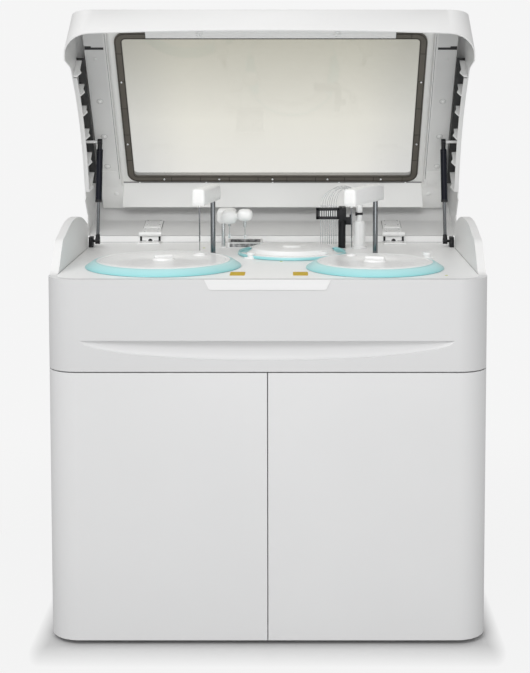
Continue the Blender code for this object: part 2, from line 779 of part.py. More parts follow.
def make_upper_side(side, sign):
    """The upper side moulding, whose top rises to the cheek beside the hood."""
    corners = [(CORNER + TOUCH * 2, SHELF_BOTTOM, 0), (CORNER + TOUCH * 2, DECK_Z, 0)]
    corners += cheek_line(0)
    corners += [(CHEEK_FOOT_Y, DECK_Z, 0), (DEPTH, DECK_Z, 0), (DEPTH, SHELF_BOTTOM, 0)]
    low, high = sorted((sign * (HALF - WALL), sign * HALF))
    moulding = extruded(f"upper_side_{side}", [rounded(corners)], low, high, "X")
    return finish(moulding, "white_cover")


def make_rear_panel():
    """The back sheet, with louvre slots and the opening of the power inlet."""
    outer = rounded(rectangle(-INSIDE, DOOR_BOTTOM, INSIDE, DECK_Z))
    inlet_width = INLET_HALF_WIDTH + TOUCH
    inlet_height = INLET_HALF_HEIGHT + TOUCH
    loops = [outer, rounded(rectangle(
        INLET_X - inlet_width, INLET_Z - inlet_height, INLET_X + inlet_width, INLET_Z + inlet_height
    ))]
    for step in range(SLOT_COUNT):
        z = SLOT_Z + step * SLOT_PITCH
        loops.append(rounded(rectangle(
            SLOT_X - SLOT_HALF_WIDTH, z - SLOT_HALF_HEIGHT, SLOT_X + SLOT_HALF_WIDTH, z + SLOT_HALF_HEIGHT
        )))
    panel = extruded("rear_panel", loops, DEPTH - SHEET, DEPTH, "Y")
    return finish(panel, "grey_door")


def make_fascia():
    """The drawer-like front, wrapped round both corners, with its grip scoop and bright lip."""
    outline = front_wrap(0, CORNER) + list(reversed(front_wrap(WALL, CORNER)))
    fascia = extruded("front_fascia", [outline], SHELF_BOTTOM, DECK_Z)
    shape = bmesh.new()
    bmesh.ops.create_uvsphere(shape, u_segments=40, v_segments=14, radius=1)
    spread = Matrix.Diagonal((SCOOP_HALF_WIDTH, SCOOP_DEPTH, SCOOP_HEIGHT, 1))
    shape.transform(Matrix.Translation((0, 0, SCOOP_LIP_Z)) @ spread)
    scoop = add_mesh("scoop_cutter", shape)
    half = block(
        "scoop_half", (-HALF, -CORNER, SCOOP_LIP_Z - SCOOP_HEIGHT - OVERRUN), (HALF, CORNER, SCOOP_LIP_Z)
    )
    kept_inside(scoop, half)
    cut(fascia, scoop)
    corners = [
        (-LIP_HALF_WIDTH, DECK_Z, 0), (-LIP_HALF_WIDTH + LIP_SLANT, DECK_Z - LIP_HEIGHT, LIP_ROUND),
        (LIP_HALF_WIDTH - LIP_SLANT, DECK_Z - LIP_HEIGHT, LIP_ROUND), (LIP_HALF_WIDTH, DECK_Z, 0),
    ]
    lip = extruded("front_lip", [rounded(corners, 3)], -LIP_PROUD, LIP_PROUD, "Y")
    return finish(fused(fascia, lip), "white_cover")


# Doors


def make_door(side, sign):
    """A wrapped door, hollow behind its skin, with two knuckles on the hidden hinge rod."""
    half_gap = DOOR_MEETING_GAP / 2
    outer = [point for point in front_wrap(0, DOOR_TAIL_Y) if point[0] > 0]
    inner = [point for point in front_wrap(DOOR_THICKNESS, DOOR_TAIL_Y) if point[0] > 0]
    outline = [(half_gap, 0)] + outer + list(reversed(inner)) + [(half_gap, DOOR_THICKNESS)]
    if sign < 0:
        outline = mirrored(outline)
    door = extruded(f"door_{side}", [outline], DOOR_BOTTOM, DOOR_TOP)
    hollow_left, hollow_right = sorted((sign * (half_gap + DOOR_THICKNESS), sign * (HALF - CORNER)))
    hollow = block(
        f"door_hollow_{side}",
        (hollow_left, DOOR_SKIN, DOOR_BOTTOM + DOOR_THICKNESS),
        (hollow_right, DOOR_THICKNESS + OVERRUN, DOOR_TOP - DOOR_THICKNESS),
    )
    cut(door, hollow)
    inner_edge, outer_edge = sorted((
        sign * (PIVOT_X - KNUCKLE_BACK), sign * (PIVOT_X + KNUCKLE_REACH)
    ))
    knuckles = []
    for index, share in enumerate(KNUCKLE_SHARES):
        z = DOOR_BOTTOM + (DOOR_TOP - DOOR_BOTTOM) * share
        knuckles.append(block(
            f"door_knuckle_{side}_{index}",
            (inner_edge, PIVOT_Y - KNUCKLE_REACH, z - KNUCKLE_HEIGHT / 2),
            (outer_edge, PIVOT_Y + KNUCKLE_BACK, z + KNUCKLE_HEIGHT / 2),
        ))
    fused(door, *knuckles)
    bore = rod(
        f"door_bore_{side}", (sign * PIVOT_X, PIVOT_Y, DOOR_BOTTOM - OVERRUN),
        (sign * PIVOT_X, PIVOT_Y, DOOR_TOP + OVERRUN), DOOR_ROD_RADIUS + TOUCH,
    )
    return finish(cut(door, bore), "grey_door")


def make_door_rod(side, sign):
    name = f"door_hinge_rod_{side}"
    x = sign * PIVOT_X
    made = rod(name, (x, PIVOT_Y, FOOT_HEIGHT), (x, PIVOT_Y, SHELF_TOP), DOOR_ROD_RADIUS)
    return finish(made, "steel")


# Deck and what stands on it


def make_deck():
    """The working deck, with the openings of the disks and the holes of the columns."""
    loops = [inner_plan(BACK_INSIDE)]
    for x, y, radius in (
        (SAMPLE_X, SAMPLE_Y, SAMPLE_RADIUS), (REAGENT_X, REAGENT_Y, REAGENT_RADIUS),
        (REACTION_X, REACTION_Y, REACTION_RADIUS),
    ):
        loops.append(circle(x, y, radius - COVER_OVERLAP, TUB_SIDES))
    for x, y, radius in (
        (SAMPLE_MAST_X, SAMPLE_MAST_Y, MAST_RADIUS), (REAGENT_MAST_X, REAGENT_MAST_Y, MAST_RADIUS),
        (MIXER_X, MIXER_Y, MIXER_RADIUS), (POST_X, POST_Y, WASH_ROD_RADIUS),
    ):
        loops.append(circle(x, y, radius + TOUCH, ROD_SIDES))
    deck = extruded("deck_cover", loops, DECK_Z - DECK_THICKNESS, DECK_Z)
    buried = DECK_Z - DECK_THICKNESS / 2
    upstand = block(
        "upstand", (-INSIDE, UPSTAND_Y, buried),
        (INSIDE, UPSTAND_Y + UPSTAND_THICKNESS, DECK_Z + UPSTAND_HEIGHT),
    )
    well = block("wash_well", (WELL_LEFT, WELL_FRONT, buried), (WELL_RIGHT, WELL_REAR, DECK_Z + WELL_HEIGHT))
    fused(deck, upstand, well)
    basin = block(
        "wash_basin",
        (WELL_LEFT + WELL_WALL, WELL_FRONT + WELL_WALL, DECK_Z + WELL_HEIGHT - WELL_DEPTH),
        (WELL_RIGHT - WELL_WALL, WELL_REAR - WELL_WALL, DECK_Z + WELL_HEIGHT + OVERRUN),
    )
    return finish(cut(deck, basin), "bright_cover")


def make_tub(name, x, y, cover_radius, depth):
    """A tub hung in the deck by its flange, with its drive housing down to the shelf."""
    outer = cover_radius - COVER_OVERLAP - TOUCH
    inner = outer - TUB_WALL
    top = DECK_Z + TOUCH + TUB_FLANGE
    floor = DECK_Z - depth
    bottom = SHELF_TOP + TOUCH
    bore = SPINDLE_RADIUS + TOUCH
    profile = [
        (inner, top), (outer + TUB_LIP, top), (outer + TUB_LIP, DECK_Z + TOUCH),
        (outer, DECK_Z + TOUCH), (outer, floor - TUB_WALL), (HOUSING_RADIUS, floor - TUB_WALL),
        (HOUSING_RADIUS, bottom), (bore, bottom), (bore, floor), (inner, floor),
    ]
    return finish(turned(name, profile, (x, y, 0), TUB_SIDES), "black_plastic")


def make_disk(name, x, y, cover_radius, holes):
    """A carousel on its spindle. Its holes are loops about the centre."""
    radius = cover_radius - COVER_OVERLAP - TUB_WALL - DISK_GAP
    top = DECK_Z - DISK_DROP
    plate = extruded(name, [circle(0, 0, radius, ROUND_SIDES)] + holes, top - DISK_THICKNESS, top)
    low, high = SHELF_TOP + SPINDLE_END, top + DISK_THICKNESS
    spindle = rod(name + "_spindle", (0, 0, low), (0, 0, high), SPINDLE_RADIUS)
    for piece in (plate, spindle):
        piece.location = (x, y, 0)
    return finish(fused(plate, spindle), "white_cover")


def ring_of_holes(radius, count, hole_radius, twist):
    turns = [twist + 2 * math.pi * step / count for step in range(count)]
    return [
        circle(radius * math.cos(turn), radius * math.sin(turn), hole_radius, CUP_SIDES) for turn in turns
    ]


def cuvette_holes(radius):
    loops = []
    for step in range(CUVETTE_COUNT):
        turn = Matrix.Rotation(2 * math.pi * step / CUVETTE_COUNT, 2)
        square = rectangle(radius - CUVETTE_HALF, -CUVETTE_HALF, radius + CUVETTE_HALF, CUVETTE_HALF)
        loops.append([tuple(turn @ Vector((a, b))) for a, b, _ in square])
    return loops


def disk_rows(cover_radius, edge, row, counts, hole_radius):
    outer = cover_radius - COVER_OVERLAP - TUB_WALL - DISK_GAP - edge
    holes = []
    for index, count in enumerate(counts):
        holes += ring_of_holes(outer - index * row, count, hole_radius, (index + 1) * ROW_TWIST)
    return holes


def make_cover(name, x, y, radius, needle_x, needle_y):
    """A shallow cover with a sloping rim, a hub knob and a hole under the probe's needle."""
    low = DECK_Z + TOUCH
    high = DECK_Z + COVER_HEIGHT
    flat = radius - COVER_SKIRT
    profile = [
        (0, high + HUB_HEIGHT), (HUB_RADIUS, high + HUB_HEIGHT), (HUB_RADIUS, high), (flat, high),
        (radius, low + COVER_WALL / 2), (radius, low), (radius - COVER_WALL, low),
        (flat, high - COVER_WALL), (0, high - COVER_WALL),
    ]
    cover = turned(name, profile, (x, y, 0), closed=False)
    hole = rod(name + "_hole", (needle_x, needle_y, low), (needle_x, needle_y, high + OVERRUN), NEEDLE_HOLE)
    return finish(cut(cover, hole), "bright_cover")


def make_reaction_cover():
    """The fixed cover of the reaction disk, open where the stirrers and wash probes reach in."""
    low = DECK_Z + TOUCH
    rim = DECK_Z + REACTION_RIM_HEIGHT
    high = DECK_Z + REACTION_CAP_HEIGHT
    inner_rim = REACTION_CAP_RADIUS + COVER_WALL
    profile = [
        (0, high + HUB_HEIGHT), (HUB_RADIUS, high + HUB_HEIGHT), (HUB_RADIUS, high),
        (REACTION_CAP_RADIUS, high), (inner_rim, rim), (REACTION_RADIUS - COVER_WALL, rim),
        (REACTION_RADIUS, low + COVER_WALL / 2), (REACTION_RADIUS, low),
        (REACTION_RADIUS - COVER_WALL * 2, low), (REACTION_RADIUS - COVER_WALL * 3, rim - COVER_WALL),
        (REACTION_CAP_RADIUS, rim - COVER_WALL), (REACTION_CAP_RADIUS - COVER_WALL, high - COVER_WALL),
        (0, high - COVER_WALL),
    ]
    cover = turned("reaction_cover", profile, (REACTION_X, REACTION_Y, 0), closed=False)
    windows = []
    for name, turn in (("left_window", LEFT_WINDOW_TURN), ("right_window", RIGHT_WINDOW_TURN)):
        window = block(
            name, (REACTION_CAP_RADIUS - OVERRUN, -WINDOW_HALF, low - OVERRUN),
            (REACTION_CAP_RADIUS - OVERRUN + WINDOW_LENGTH, WINDOW_HALF, high + OVERRUN),
        )
        window.data.transform(
            Matrix.Translation((REACTION_X, REACTION_Y, 0)) @ Matrix.Rotation(turn, 4, "Z")
        )
        windows.append(window)
    return finish(cut(cover, *windows), "bright_cover")


def make_mast(name, x, y):
    top = ARM_BOTTOM_Z - TOUCH
    return finish(rod(name, (x, y, MAST_FOOT_Z), (x, y, top), MAST_RADIUS), "dark_steel")


def make_arm(name, mast, needle, tip_z):
    """A probe arm from its mast to just past its needle, with the needle below it."""
    along = Vector((needle[0] - mast[0], needle[1] - mast[1], 0))
    reach = along.length
    body = block(
        name, (-ARM_BEHIND, -ARM_WIDTH / 2, ARM_BOTTOM_Z),
        (reach + ARM_AHEAD, ARM_WIDTH / 2, ARM_BOTTOM_Z + ARM_HEIGHT), ARM_ROUND,
    )
    body.data.transform(along.to_track_quat("X", "Z").to_matrix().to_4x4())
    body.location = (*mast, 0)
    point = rod(
        name + "_needle", (*needle, tip_z), (*needle, ARM_BOTTOM_Z + ARM_HEIGHT / 2),
        NEEDLE_RADIUS, NEEDLE_SIDES,
    )
    return finish(fused(body, point), "bright_cover")


def make_mixer_column():
    top = MIXER_BOTTOM_Z - TOUCH
    made = rod("mixer_column", (MIXER_X, MIXER_Y, MAST_FOOT_Z), (MIXER_X, MIXER_Y, top), MIXER_RADIUS)
    return finish(made, "steel")


def make_mixer_head():
    """Two stirrer housings, one behind and left of the other."""
    top = MIXER_BOTTOM_Z + MIXER_HEIGHT
    head = block(
        "mixer_head", (MIXER_X - MIXER_SIDE, PADDLE_A_Y - MIXER_LOBE, MIXER_BOTTOM_Z),
        (PADDLE_A_X + MIXER_SIDE, MIXER_Y + MIXER_LOBE, top), MIXER_ROUND,
    )
    second = block(
        "mixer_lobe", (PADDLE_A_X, PADDLE_B_Y - MIXER_LOBE, MIXER_BOTTOM_Z + MIXER_STEP),
        (PADDLE_B_X + MIXER_LOBE, PADDLE_B_Y + MIXER_LOBE, top - MIXER_STEP), MIXER_ROUND,
    )
    return finish(fused(head, second), "white_cover")


def make_paddle(name, x, y, top):
    """A stirring paddle, flat at its tip, under its housing."""
    shaft = rod(name, (0, 0, PADDLE_TIP_Z), (0, 0, top - TOUCH), PADDLE_RADIUS, NEEDLE_SIDES)
    blade = block(
        name + "_blade", (-PADDLE_BLADE, -PADDLE_RADIUS / 2, PADDLE_TIP_Z - PADDLE_RADIUS),
        (PADDLE_BLADE, PADDLE_RADIUS / 2, PADDLE_TIP_Z + PADDLE_BLADE_HEIGHT),
    )
    for piece in (shaft, blade):
        piece.location = (x, y, 0)
    return finish(fused(shaft, blade), "steel")


def make_wash_post():
    """A fixed sleeve in which the rod of the wash head slides."""
    bore = WASH_ROD_RADIUS + TOUCH
    low = DECK_Z + TOUCH
    profile = [(bore, POST_TOP_Z), (POST_RADIUS, POST_TOP_Z), (POST_RADIUS, low), (bore, low)]
    return finish(turned("wash_post", profile, (POST_X, POST_Y, 0), ROD_SIDES), "white_cover")


def make_wash_head():
    """The comb of wash probes, its arm and the rod that lifts them."""
    comb = block(
        "wash_head", (COMB_LEFT, COMB_Y - COMB_HALF_DEPTH, COMB_BOTTOM_Z),
        (COMB_RIGHT, COMB_Y + COMB_HALF_DEPTH, COMB_TOP_Z),
    )
    arm = block(
        "wash_arm", (POST_X - WASH_ARM_HALF, COMB_Y - COMB_HALF_DEPTH, COMB_BOTTOM_Z),
        (POST_X + WASH_ARM_HALF, POST_Y + WASH_ARM_HALF, COMB_TOP_Z),
    )
    lift = rod(
        "wash_rod", (POST_X, POST_Y, MAST_FOOT_Z), (POST_X, POST_Y, COMB_BOTTOM_Z + OVERRUN), WASH_ROD_RADIUS
    )
    fused(comb, arm, lift)
    spread = (WASH_PROBE_RIGHT - WASH_PROBE_LEFT) / (WASH_PROBE_COUNT - 1)
    for index in range(WASH_PROBE_COUNT):
        x = WASH_PROBE_LEFT + index * spread
        fused(comb, rod(
            f"wash_probe_{index}", (x, COMB_Y, WASH_PROBE_TIP_Z), (x, COMB_Y, WASH_PROBE_TOP_Z),
            WASH_PROBE_RADIUS, NEEDLE_SIDES,
        ))
    return finish(comb, "black_plastic")


def make_tube_column():
    low = DECK_Z + TOUCH
    top = TUBE_COLUMN_TOP_Z
    radius = TUBE_COLUMN_RADIUS
    profile = [
        (0, top), (radius - TUBE_COLUMN_ROUND, top), (radius, top - TUBE_COLUMN_ROUND),
        (radius, low), (0, low),
    ]
    place = (TUBE_COLUMN_X, TUBE_COLUMN_Y, 0)
    return finish(turned("tube_column", profile, place, ROD_SIDES, closed=False), "bright_cover")


# Hood, built closed


def skin_z(y):
    """Height of the hood's outer top at a depth."""
    return PANE_Z + SKIN_OVER_PANE + math.tan(PANE_TILT) * (y - PANE_Y)


def hood_envelope():
    """Counter-clockwise side view of the closed hood, down to below its rim."""
    low = DECK_Z - HOOD_BELOW
    slope = (DEPTH - HOOD_FOOT_Y) / (HOOD_HEEL_Z - HOOD_FOOT_Z)
    return [
        (0, low, 0), (HOOD_FOOT_Y - slope * (HOOD_FOOT_Z - low), low, 0),
        (DEPTH, HOOD_HEEL_Z, HOOD_HEEL_ROUND), (DEPTH, skin_z(DEPTH), HOOD_REAR_ROUND),
        (HOOD_CREST_Y, skin_z(HOOD_CREST_Y), HOOD_CREST_ROUND), (0, HOOD_BROW_Z, HOOD_BROW_ROUND),
    ]


def hood_underside():
    """What is cut away below the closed hood, so that it clears the cheeks and the hinges."""
    low = DECK_Z - HOOD_BELOW - OVERRUN
    rim = DECK_Z + HOOD_RIM_GAP
    corners = [(-OVERRUN, low, 0), (-OVERRUN, rim, 0)]
    line = cheek_line(SHUT_LINE)
    corners += [(line[0][0], rim, 0)] + line[1:]
    corners += [(DEPTH - back, DECK_Z + up, 0) for back, up in zip(HOOD_PASS_IN, HOOD_PASS_HEIGHTS)]
    return corners + [(DEPTH + OVERRUN, HOOD_FOOT_Z, 0), (DEPTH + OVERRUN, low, 0)]


def hood_plan(depth=0.0):
    """Plan of the closed hood, whose front edge bows out a little in the middle."""
    front = [(share * HALF, HOOD_BOW * share * share, 0) for share in HOOD_BOW_SHARES]
    corners = [(-HALF, HOOD_BOW, CORNER)] + front
    corners += [(HALF, HOOD_BOW, CORNER), (HALF, DEPTH + CORNER, 0), (-HALF, DEPTH + CORNER, 0)]
    return rounded(inset(corners, depth))


def edge_rounders(name, depth=0.0):
    """What is cut off both long upper edges of the hood, moved in by a depth."""
    radius = HOOD_EDGE_ROUND - depth
    side, top = HALF - depth, SKIN_OVER_PANE - depth
    arc = []
    for step in range(ARC_STEPS + 1):
        turn = math.pi / 2 * step / ARC_STEPS
        arc.append((side - radius + radius * math.cos(turn), top - radius + radius * math.sin(turn)))
    section = arc + [(side - radius, top + WALL), (side + WALL, top + WALL), (side + WALL, top - radius)]
    return [
        on_pane(extruded(f"{name}_{index}", [loop], -DEPTH, DEPTH + DEPTH, "Y"))
        for index, loop in enumerate((section, mirrored(section)))
    ]


def on_pane(obj):
    """Lays what was built along and across the pane in its sloping place."""
    slope = Matrix.Translation((0, PANE_Y, PANE_Z)) @ Matrix.Rotation(PANE_TILT, 4, "X")
    obj.data.transform(slope)
    return obj


def gasket_corners():
    return rectangle(-GASKET_HALF, GASKET_FRONT, GASKET_HALF, GASKET_REAR, GASKET_ROUND)


def pane_corners():
    return inset(gasket_corners(), GASKET_BAND - GASKET_GRIP)


def make_hood_shell():
    """The outer shell, open below, with the well of its window and the studs of its struts."""
    shell = extruded("lid_shell", [rounded(hood_envelope())], -HALF, HALF, "X")
    low = DECK_Z - HOOD_BELOW - OVERRUN
    high = skin_z(DEPTH) + OVERRUN
    kept_inside(shell, extruded("hood_plan", [hood_plan()], low, high))
    cut(shell, *edge_rounders("hood_edge"))
    cavity = extruded(
        "hood_cavity", [rounded(inset(hood_envelope(), HOOD_WALL))], -HALF + HOOD_WALL, HALF - HOOD_WALL, "X"
    )
    kept_inside(cavity, extruded("hood_cavity_plan", [hood_plan(HOOD_WALL)], low, high))
    cut(cavity, *edge_rounders("cavity_edge", HOOD_WALL))
    cut(shell, cavity)
    cut(shell, extruded("hood_underside", [rounded(hood_underside())], -WIDTH, WIDTH, "X"))
    window = rounded(pane_corners())
    well = rounded(inset(pane_corners(), -WELL_WALL_HOOD))
    bottom = LINER_WALL + TOUCH
    top = SKIN_OVER_PANE
    fused(shell, on_pane(extruded("window_well", [well], bottom, top - HOOD_WALL / 2)))
    cut(shell, on_pane(extruded("window_cutter", [window], -top, top * 2)))
    for side, sign in (("left", -1), ("right", 1)):
        start = (sign * (STRUT_X + EYE_HALF + TOUCH * 2), STRUT_TOP_Y, STRUT_TOP_Z)
        end = (sign * (HALF - HOOD_WALL / 2), STRUT_TOP_Y, STRUT_TOP_Z)
        fused(shell, rod(f"strut_stud_{side}", start, end, STUD_RADIUS))
    return finish(shell, "white_cover")


def liner_section():
    """Section of the liner: the panel, a wall down to each rail and an edge up to the shell."""
    top = SKIN_OVER_PANE - HOOD_WALL - TOUCH
    inner = LINER_HALF - LINER_WALL
    right = [
        (inner, 0), (inner, -RAIL_DROP), (RAIL_HALF, -RAIL_DROP), (RAIL_HALF, top),
        (RAIL_HALF - LINER_WALL, top), (RAIL_HALF - LINER_WALL, LINER_WALL - RAIL_DROP),
        (LINER_HALF, LINER_WALL - RAIL_DROP), (LINER_HALF, LINER_WALL),
    ]
    return right + mirrored(right)


def make_liner():
    """The inner panel round the window, its side rails and its slanted rear skirt."""
    liner = on_pane(extruded("lid_liner", [liner_section()], LINER_FRONT, LINER_REAR, "Y"))
    room = inset(hood_envelope(), HOOD_WALL + TOUCH)
    kept_inside(liner, extruded("liner_room", [rounded(room)], -HALF, HALF, "X"))
    cut(liner, *edge_rounders("liner_edge", HOOD_WALL + TOUCH))
    window = rounded(inset(pane_corners(), -TOUCH))
    cut(liner, on_pane(extruded("liner_window", [window], -RAIL_DROP, RAIL_DROP)))
    rear_y = PANE_Y + LINER_REAR * math.cos(PANE_TILT)
    rear_z = PANE_Z + LINER_REAR * math.sin(PANE_TILT)
    third = LINER_WALL / 3
    skirt = [
        (rear_y - LINER_WALL, rear_z + third), (LINER_HEEL_Y, LINER_HEEL_Z),
        (LINER_HEEL_Y, LINER_HEEL_Z + LINER_WALL), (rear_y - third, rear_z + 2 * third),
    ]
    half = LINER_HALF - LINER_WALL - TOUCH
    fused(liner, extruded("liner_skirt", [skirt], -half, half, "X"))
    return finish(liner, "liner")


def make_gasket():
    outer = rounded(gasket_corners())
    inner = rounded(inset(gasket_corners(), GASKET_BAND))
    ring = extruded("window_gasket", [outer, inner], -GASKET_HEIGHT, -TOUCH)
    return finish(on_pane(ring), "gasket")


def make_window():
    pane = extruded("lid_window", [rounded(pane_corners())], 0, PANE_THICKNESS)
    return finish(on_pane(pane), "glass")


def make_lamp():
    lamp = block(
        "lid_light_bar", (-LAMP_HALF, LAMP_FRONT, -LAMP_HEIGHT), (LAMP_HALF, LAMP_REAR, -TOUCH), LAMP_ROUND
    )
    return finish(on_pane(lamp), "bright_cover")


def rear_wall_line():
    """A point on the inner face of the hood's rear wall, its direction up and its inward normal."""
    along = Vector((DEPTH - HOOD_FOOT_Y, HOOD_HEEL_Z - HOOD_FOOT_Z)).normalized()
    inward = Vector((-along.y, along.x))
    foot = Vector((HOOD_FOOT_Y, HOOD_FOOT_Z)) + inward * (HOOD_WALL + TOUCH)
    return foot, along, inward


def make_hinge_leaf(side, sign):
    """The leaf on the hood's rear wall, with the middle knuckle."""
    foot, along, inward = rear_wall_line()
    axis = Vector((HINGE_Y, HINGE_Z))
    back = foot + inward * LEAF_THICKNESS
    loop = [
        axis - along * PIN_RADIUS * 2, foot - along * PIN_RADIUS, foot + along * LEAF_LENGTH,
        back + along * LEAF_LENGTH, axis + along * PIN_RADIUS * 2,
    ]
    x = sign * HINGE_X
    quarter = LEAF_WIDTH / 4
    leaf = extruded(
        f"hinge_leaf_{side}", [[tuple(point) for point in loop]], x - quarter, x + quarter, "X"
    )
    wide = [
        foot + along * KNUCKLE_RADIUS, foot + along * LEAF_LENGTH,
        back + along * LEAF_LENGTH, back + along * KNUCKLE_RADIUS,
    ]
    plate = extruded(
        f"leaf_plate_{side}", [[tuple(point) for point in wide]],
        x - LEAF_WIDTH / 2, x + LEAF_WIDTH / 2, "X",
    )
    start, end = (x - quarter, HINGE_Y, HINGE_Z), (x + quarter, HINGE_Y, HINGE_Z)
    barrel = rod(f"leaf_barrel_{side}", start, end, KNUCKLE_RADIUS)
    bore = rod(
        f"leaf_bore_{side}", (x - LEAF_WIDTH, HINGE_Y, HINGE_Z), (x + LEAF_WIDTH, HINGE_Y, HINGE_Z),
        PIN_RADIUS + TOUCH,
    )
    return finish(cut(fused(leaf, plate, barrel), bore), "bright_cover")


def make_hinge_base(side, sign):
    """The fixed half of a hinge: a foot on the deck, a plate up to two knuckles, and the pin."""
    x = sign * HINGE_X
    left, right = x - HINGE_BASE_WIDTH / 2, x + HINGE_BASE_WIDTH / 2
    low = DECK_Z + TOUCH
    back = UPSTAND_Y - TOUCH
    foot = block(
        f"hinge_base_{side}", (left, back - HINGE_FOOT_LENGTH, low), (right, back, low + HINGE_PLATE)
    )
    plate = block(
        f"hinge_plate_{side}", (left, back - HINGE_PLATE, low), (right, back, DECK_Z + UPSTAND_HEIGHT)
    )
    fused(foot, plate)
    inner = LEAF_WIDTH / 4 + TOUCH
    for part, start, end in (("a", left, x - inner), ("b", x + inner, right)):
        ear = block(f"hinge_ear_{side}_{part}", (start, back - HINGE_PLATE, low), (end, back, HINGE_Z))
        knuckle = rod(
            f"hinge_knuckle_{side}_{part}", (start, HINGE_Y, HINGE_Z), (end, HINGE_Y, HINGE_Z), KNUCKLE_RADIUS
        )
        fused(foot, ear, knuckle)
    pin = rod(f"hinge_pin_{side}", (left, HINGE_Y, HINGE_Z), (right, HINGE_Y, HINGE_Z), PIN_RADIUS)
    return finish(fused(foot, pin), "bright_cover")


# Gas struts, built at rest with the hood open


def opened(y, z):
    """Where a point of the closed hood lies when it stands open."""
    cosine, sine = math.cos(OPEN_ANGLE), math.sin(OPEN_ANGLE)
    ahead, above = y - HINGE_Y, z - HINGE_Z
    return HINGE_Y + ahead * cosine + above * sine, HINGE_Z - ahead * sine + above * cosine


def strut_line():
    """Lower ball, direction to the upper ball and the open length."""
    low = Vector((0, STRUT_LOW_Y, STRUT_LOW_Z))
    high = Vector((0, *opened(STRUT_TOP_Y, STRUT_TOP_Z)))
    return low, (high - low).normalized(), (high - low).length


def eye(name, x, centre):
    """A round end with its flat faces towards the sides."""
    return rod(name, (x - EYE_HALF, centre.y, centre.z), (x + EYE_HALF, centre.y, centre.z), EYE_RADIUS)


def make_strut_rod(side, sign):
    """The slim rod of a gas strut, from its lower eye up into the cylinder."""
    low, along, length = strut_line()
    x = sign * STRUT_X
    at = Vector((x, 0, 0)) + low
    tube_end = length - STRUT_TUBE_START - STRUT_TUBE_LENGTH
    piston = tube_end + STRUT_TUBE_START
    shaft = rod(f"strut_rod_{side}", at, at + along * piston, STRUT_ROD_RADIUS)
    fused(shaft, eye(f"rod_eye_{side}", x, at))
    bore = rod(
        f"rod_eye_bore_{side}", (x - WALL, at.y, at.z), (x + WALL, at.y, at.z), STUD_RADIUS + TOUCH
    )
    return finish(cut(shaft, bore), "steel")


def make_strut_cylinder(side, sign):
    """The gas cylinder, bored for the rod, with its upper eye beside the hood's stud."""
    low, along, length = strut_line()
    x = sign * STRUT_X
    at = Vector((x, 0, 0)) + low
    top = at + along * length
    tube_top = length - STRUT_TUBE_START
    tube_end = tube_top - STRUT_TUBE_LENGTH
    tube = rod(f"strut_cylinder_{side}", at + along * tube_end, at + along * tube_top, STRUT_TUBE_RADIUS)
    neck = rod(f"cylinder_neck_{side}", at + along * (tube_top - OVERRUN), top, STRUT_ROD_RADIUS)
    fused(tube, neck, eye(f"cylinder_eye_{side}", x, top))
    bore = rod(
        f"cylinder_bore_{side}", at + along * (tube_end - OVERRUN),
        at + along * (tube_top - STRUT_TUBE_START / 2), STRUT_ROD_RADIUS + TOUCH,
    )
    return finish(cut(tube, bore), "black_plastic")


def make_strut_bracket(side, sign):
    """The bracket on the deck behind the cheek, with the stud of the lower eye."""
    left, right = sorted((sign * BRACKET_LEFT, sign * BRACKET_RIGHT))
    bracket = block(
        f"strut_bracket_{side}", (left, STRUT_LOW_Y - BRACKET_HALF, DECK_Z + TOUCH),
        (right, STRUT_LOW_Y + BRACKET_HALF, BRACKET_TOP_Z),
    )
    stud = rod(
        f"bracket_stud_{side}", (sign * (STRUT_X - EYE_HALF), STRUT_LOW_Y, STRUT_LOW_Z),
        (sign * BRACKET_RIGHT, STRUT_LOW_Y, STRUT_LOW_Z), STUD_RADIUS,
    )
    return finish(fused(bracket, stud), "black_plastic")


# Inside the cabinet


def placed(shares, tall):
    """Left, front, right, back and height of a box from its shares of the cabinet."""
    left, front, right, back, height = shares
    return left * HALF, front * DEPTH, right * HALF, back * DEPTH, height * tall


def make_box(name, box, base=None, rounding=0.0):
    left, front, right, back, height = box
    low = (PAN_TOP if base is None else base) + TOUCH
    return block(name, (left, front, low), (right, back, low + height), rounding)


def make_tank(name, box):
    """A moulded tank with a screw cap."""
    left, front, right, back, height = box
    top = PAN_TOP + TOUCH + height
    tank = make_box(name, box, rounding=BOX_ROUND)
    x, y = (left + right) / 2, (front + back) / 2
    cap = rod(name + "_cap", (x, y, top - OVERRUN), (x, y, top + CAP_HEIGHT), CAP_RADIUS, TUB_SIDES // 2)
    return finish(fused(tank, cap), "tank")


def make_supply():
    return finish(make_box("power_supply", placed(SUPPLY_SHARES, SEAM_Z)), "aluminium")


def make_cooler():
    """The cooling unit, with fins cut into its back."""
    left, front, right, back, height = placed(COOLER_SHARES, SEAM_Z)
    cooler = make_box("cooling_unit", placed(COOLER_SHARES, SEAM_Z))
    pitch = (right - left) / FIN_COUNT
    for index in range(FIN_COUNT):
        x = left + (index + FIN_START_SHARE) * pitch
        cut(cooler, block(
            f"fin_gap_{index}", (x, back - FIN_DEPTH, PAN_TOP - OVERRUN),
            (x + pitch / 2, back + OVERRUN, PAN_TOP + height + OVERRUN),
        ))
    return finish(cooler, "aluminium")


def make_pump():
    """The syringe pump, with its row of syringes on the front."""
    left, front, right, back, height = placed(PUMP_SHARES, SEAM_Z)
    pump = make_box("syringe_pump", placed(PUMP_SHARES, SEAM_Z))
    pitch = (right - left) / SYRINGE_COUNT
    quarter = height / 4
    for index in range(SYRINGE_COUNT):
        x = left + (2 * index + 1) * pitch / 2
        y = front - SYRINGE_OUT + SYRINGE_RADIUS
        fused(pump, rod(
            f"syringe_{index}", (x, y - SYRINGE_RADIUS / 2, PAN_TOP + quarter),
            (x, y - SYRINGE_RADIUS / 2, PAN_TOP + height - quarter), SYRINGE_RADIUS,
        ))
    return finish(pump, "aluminium")


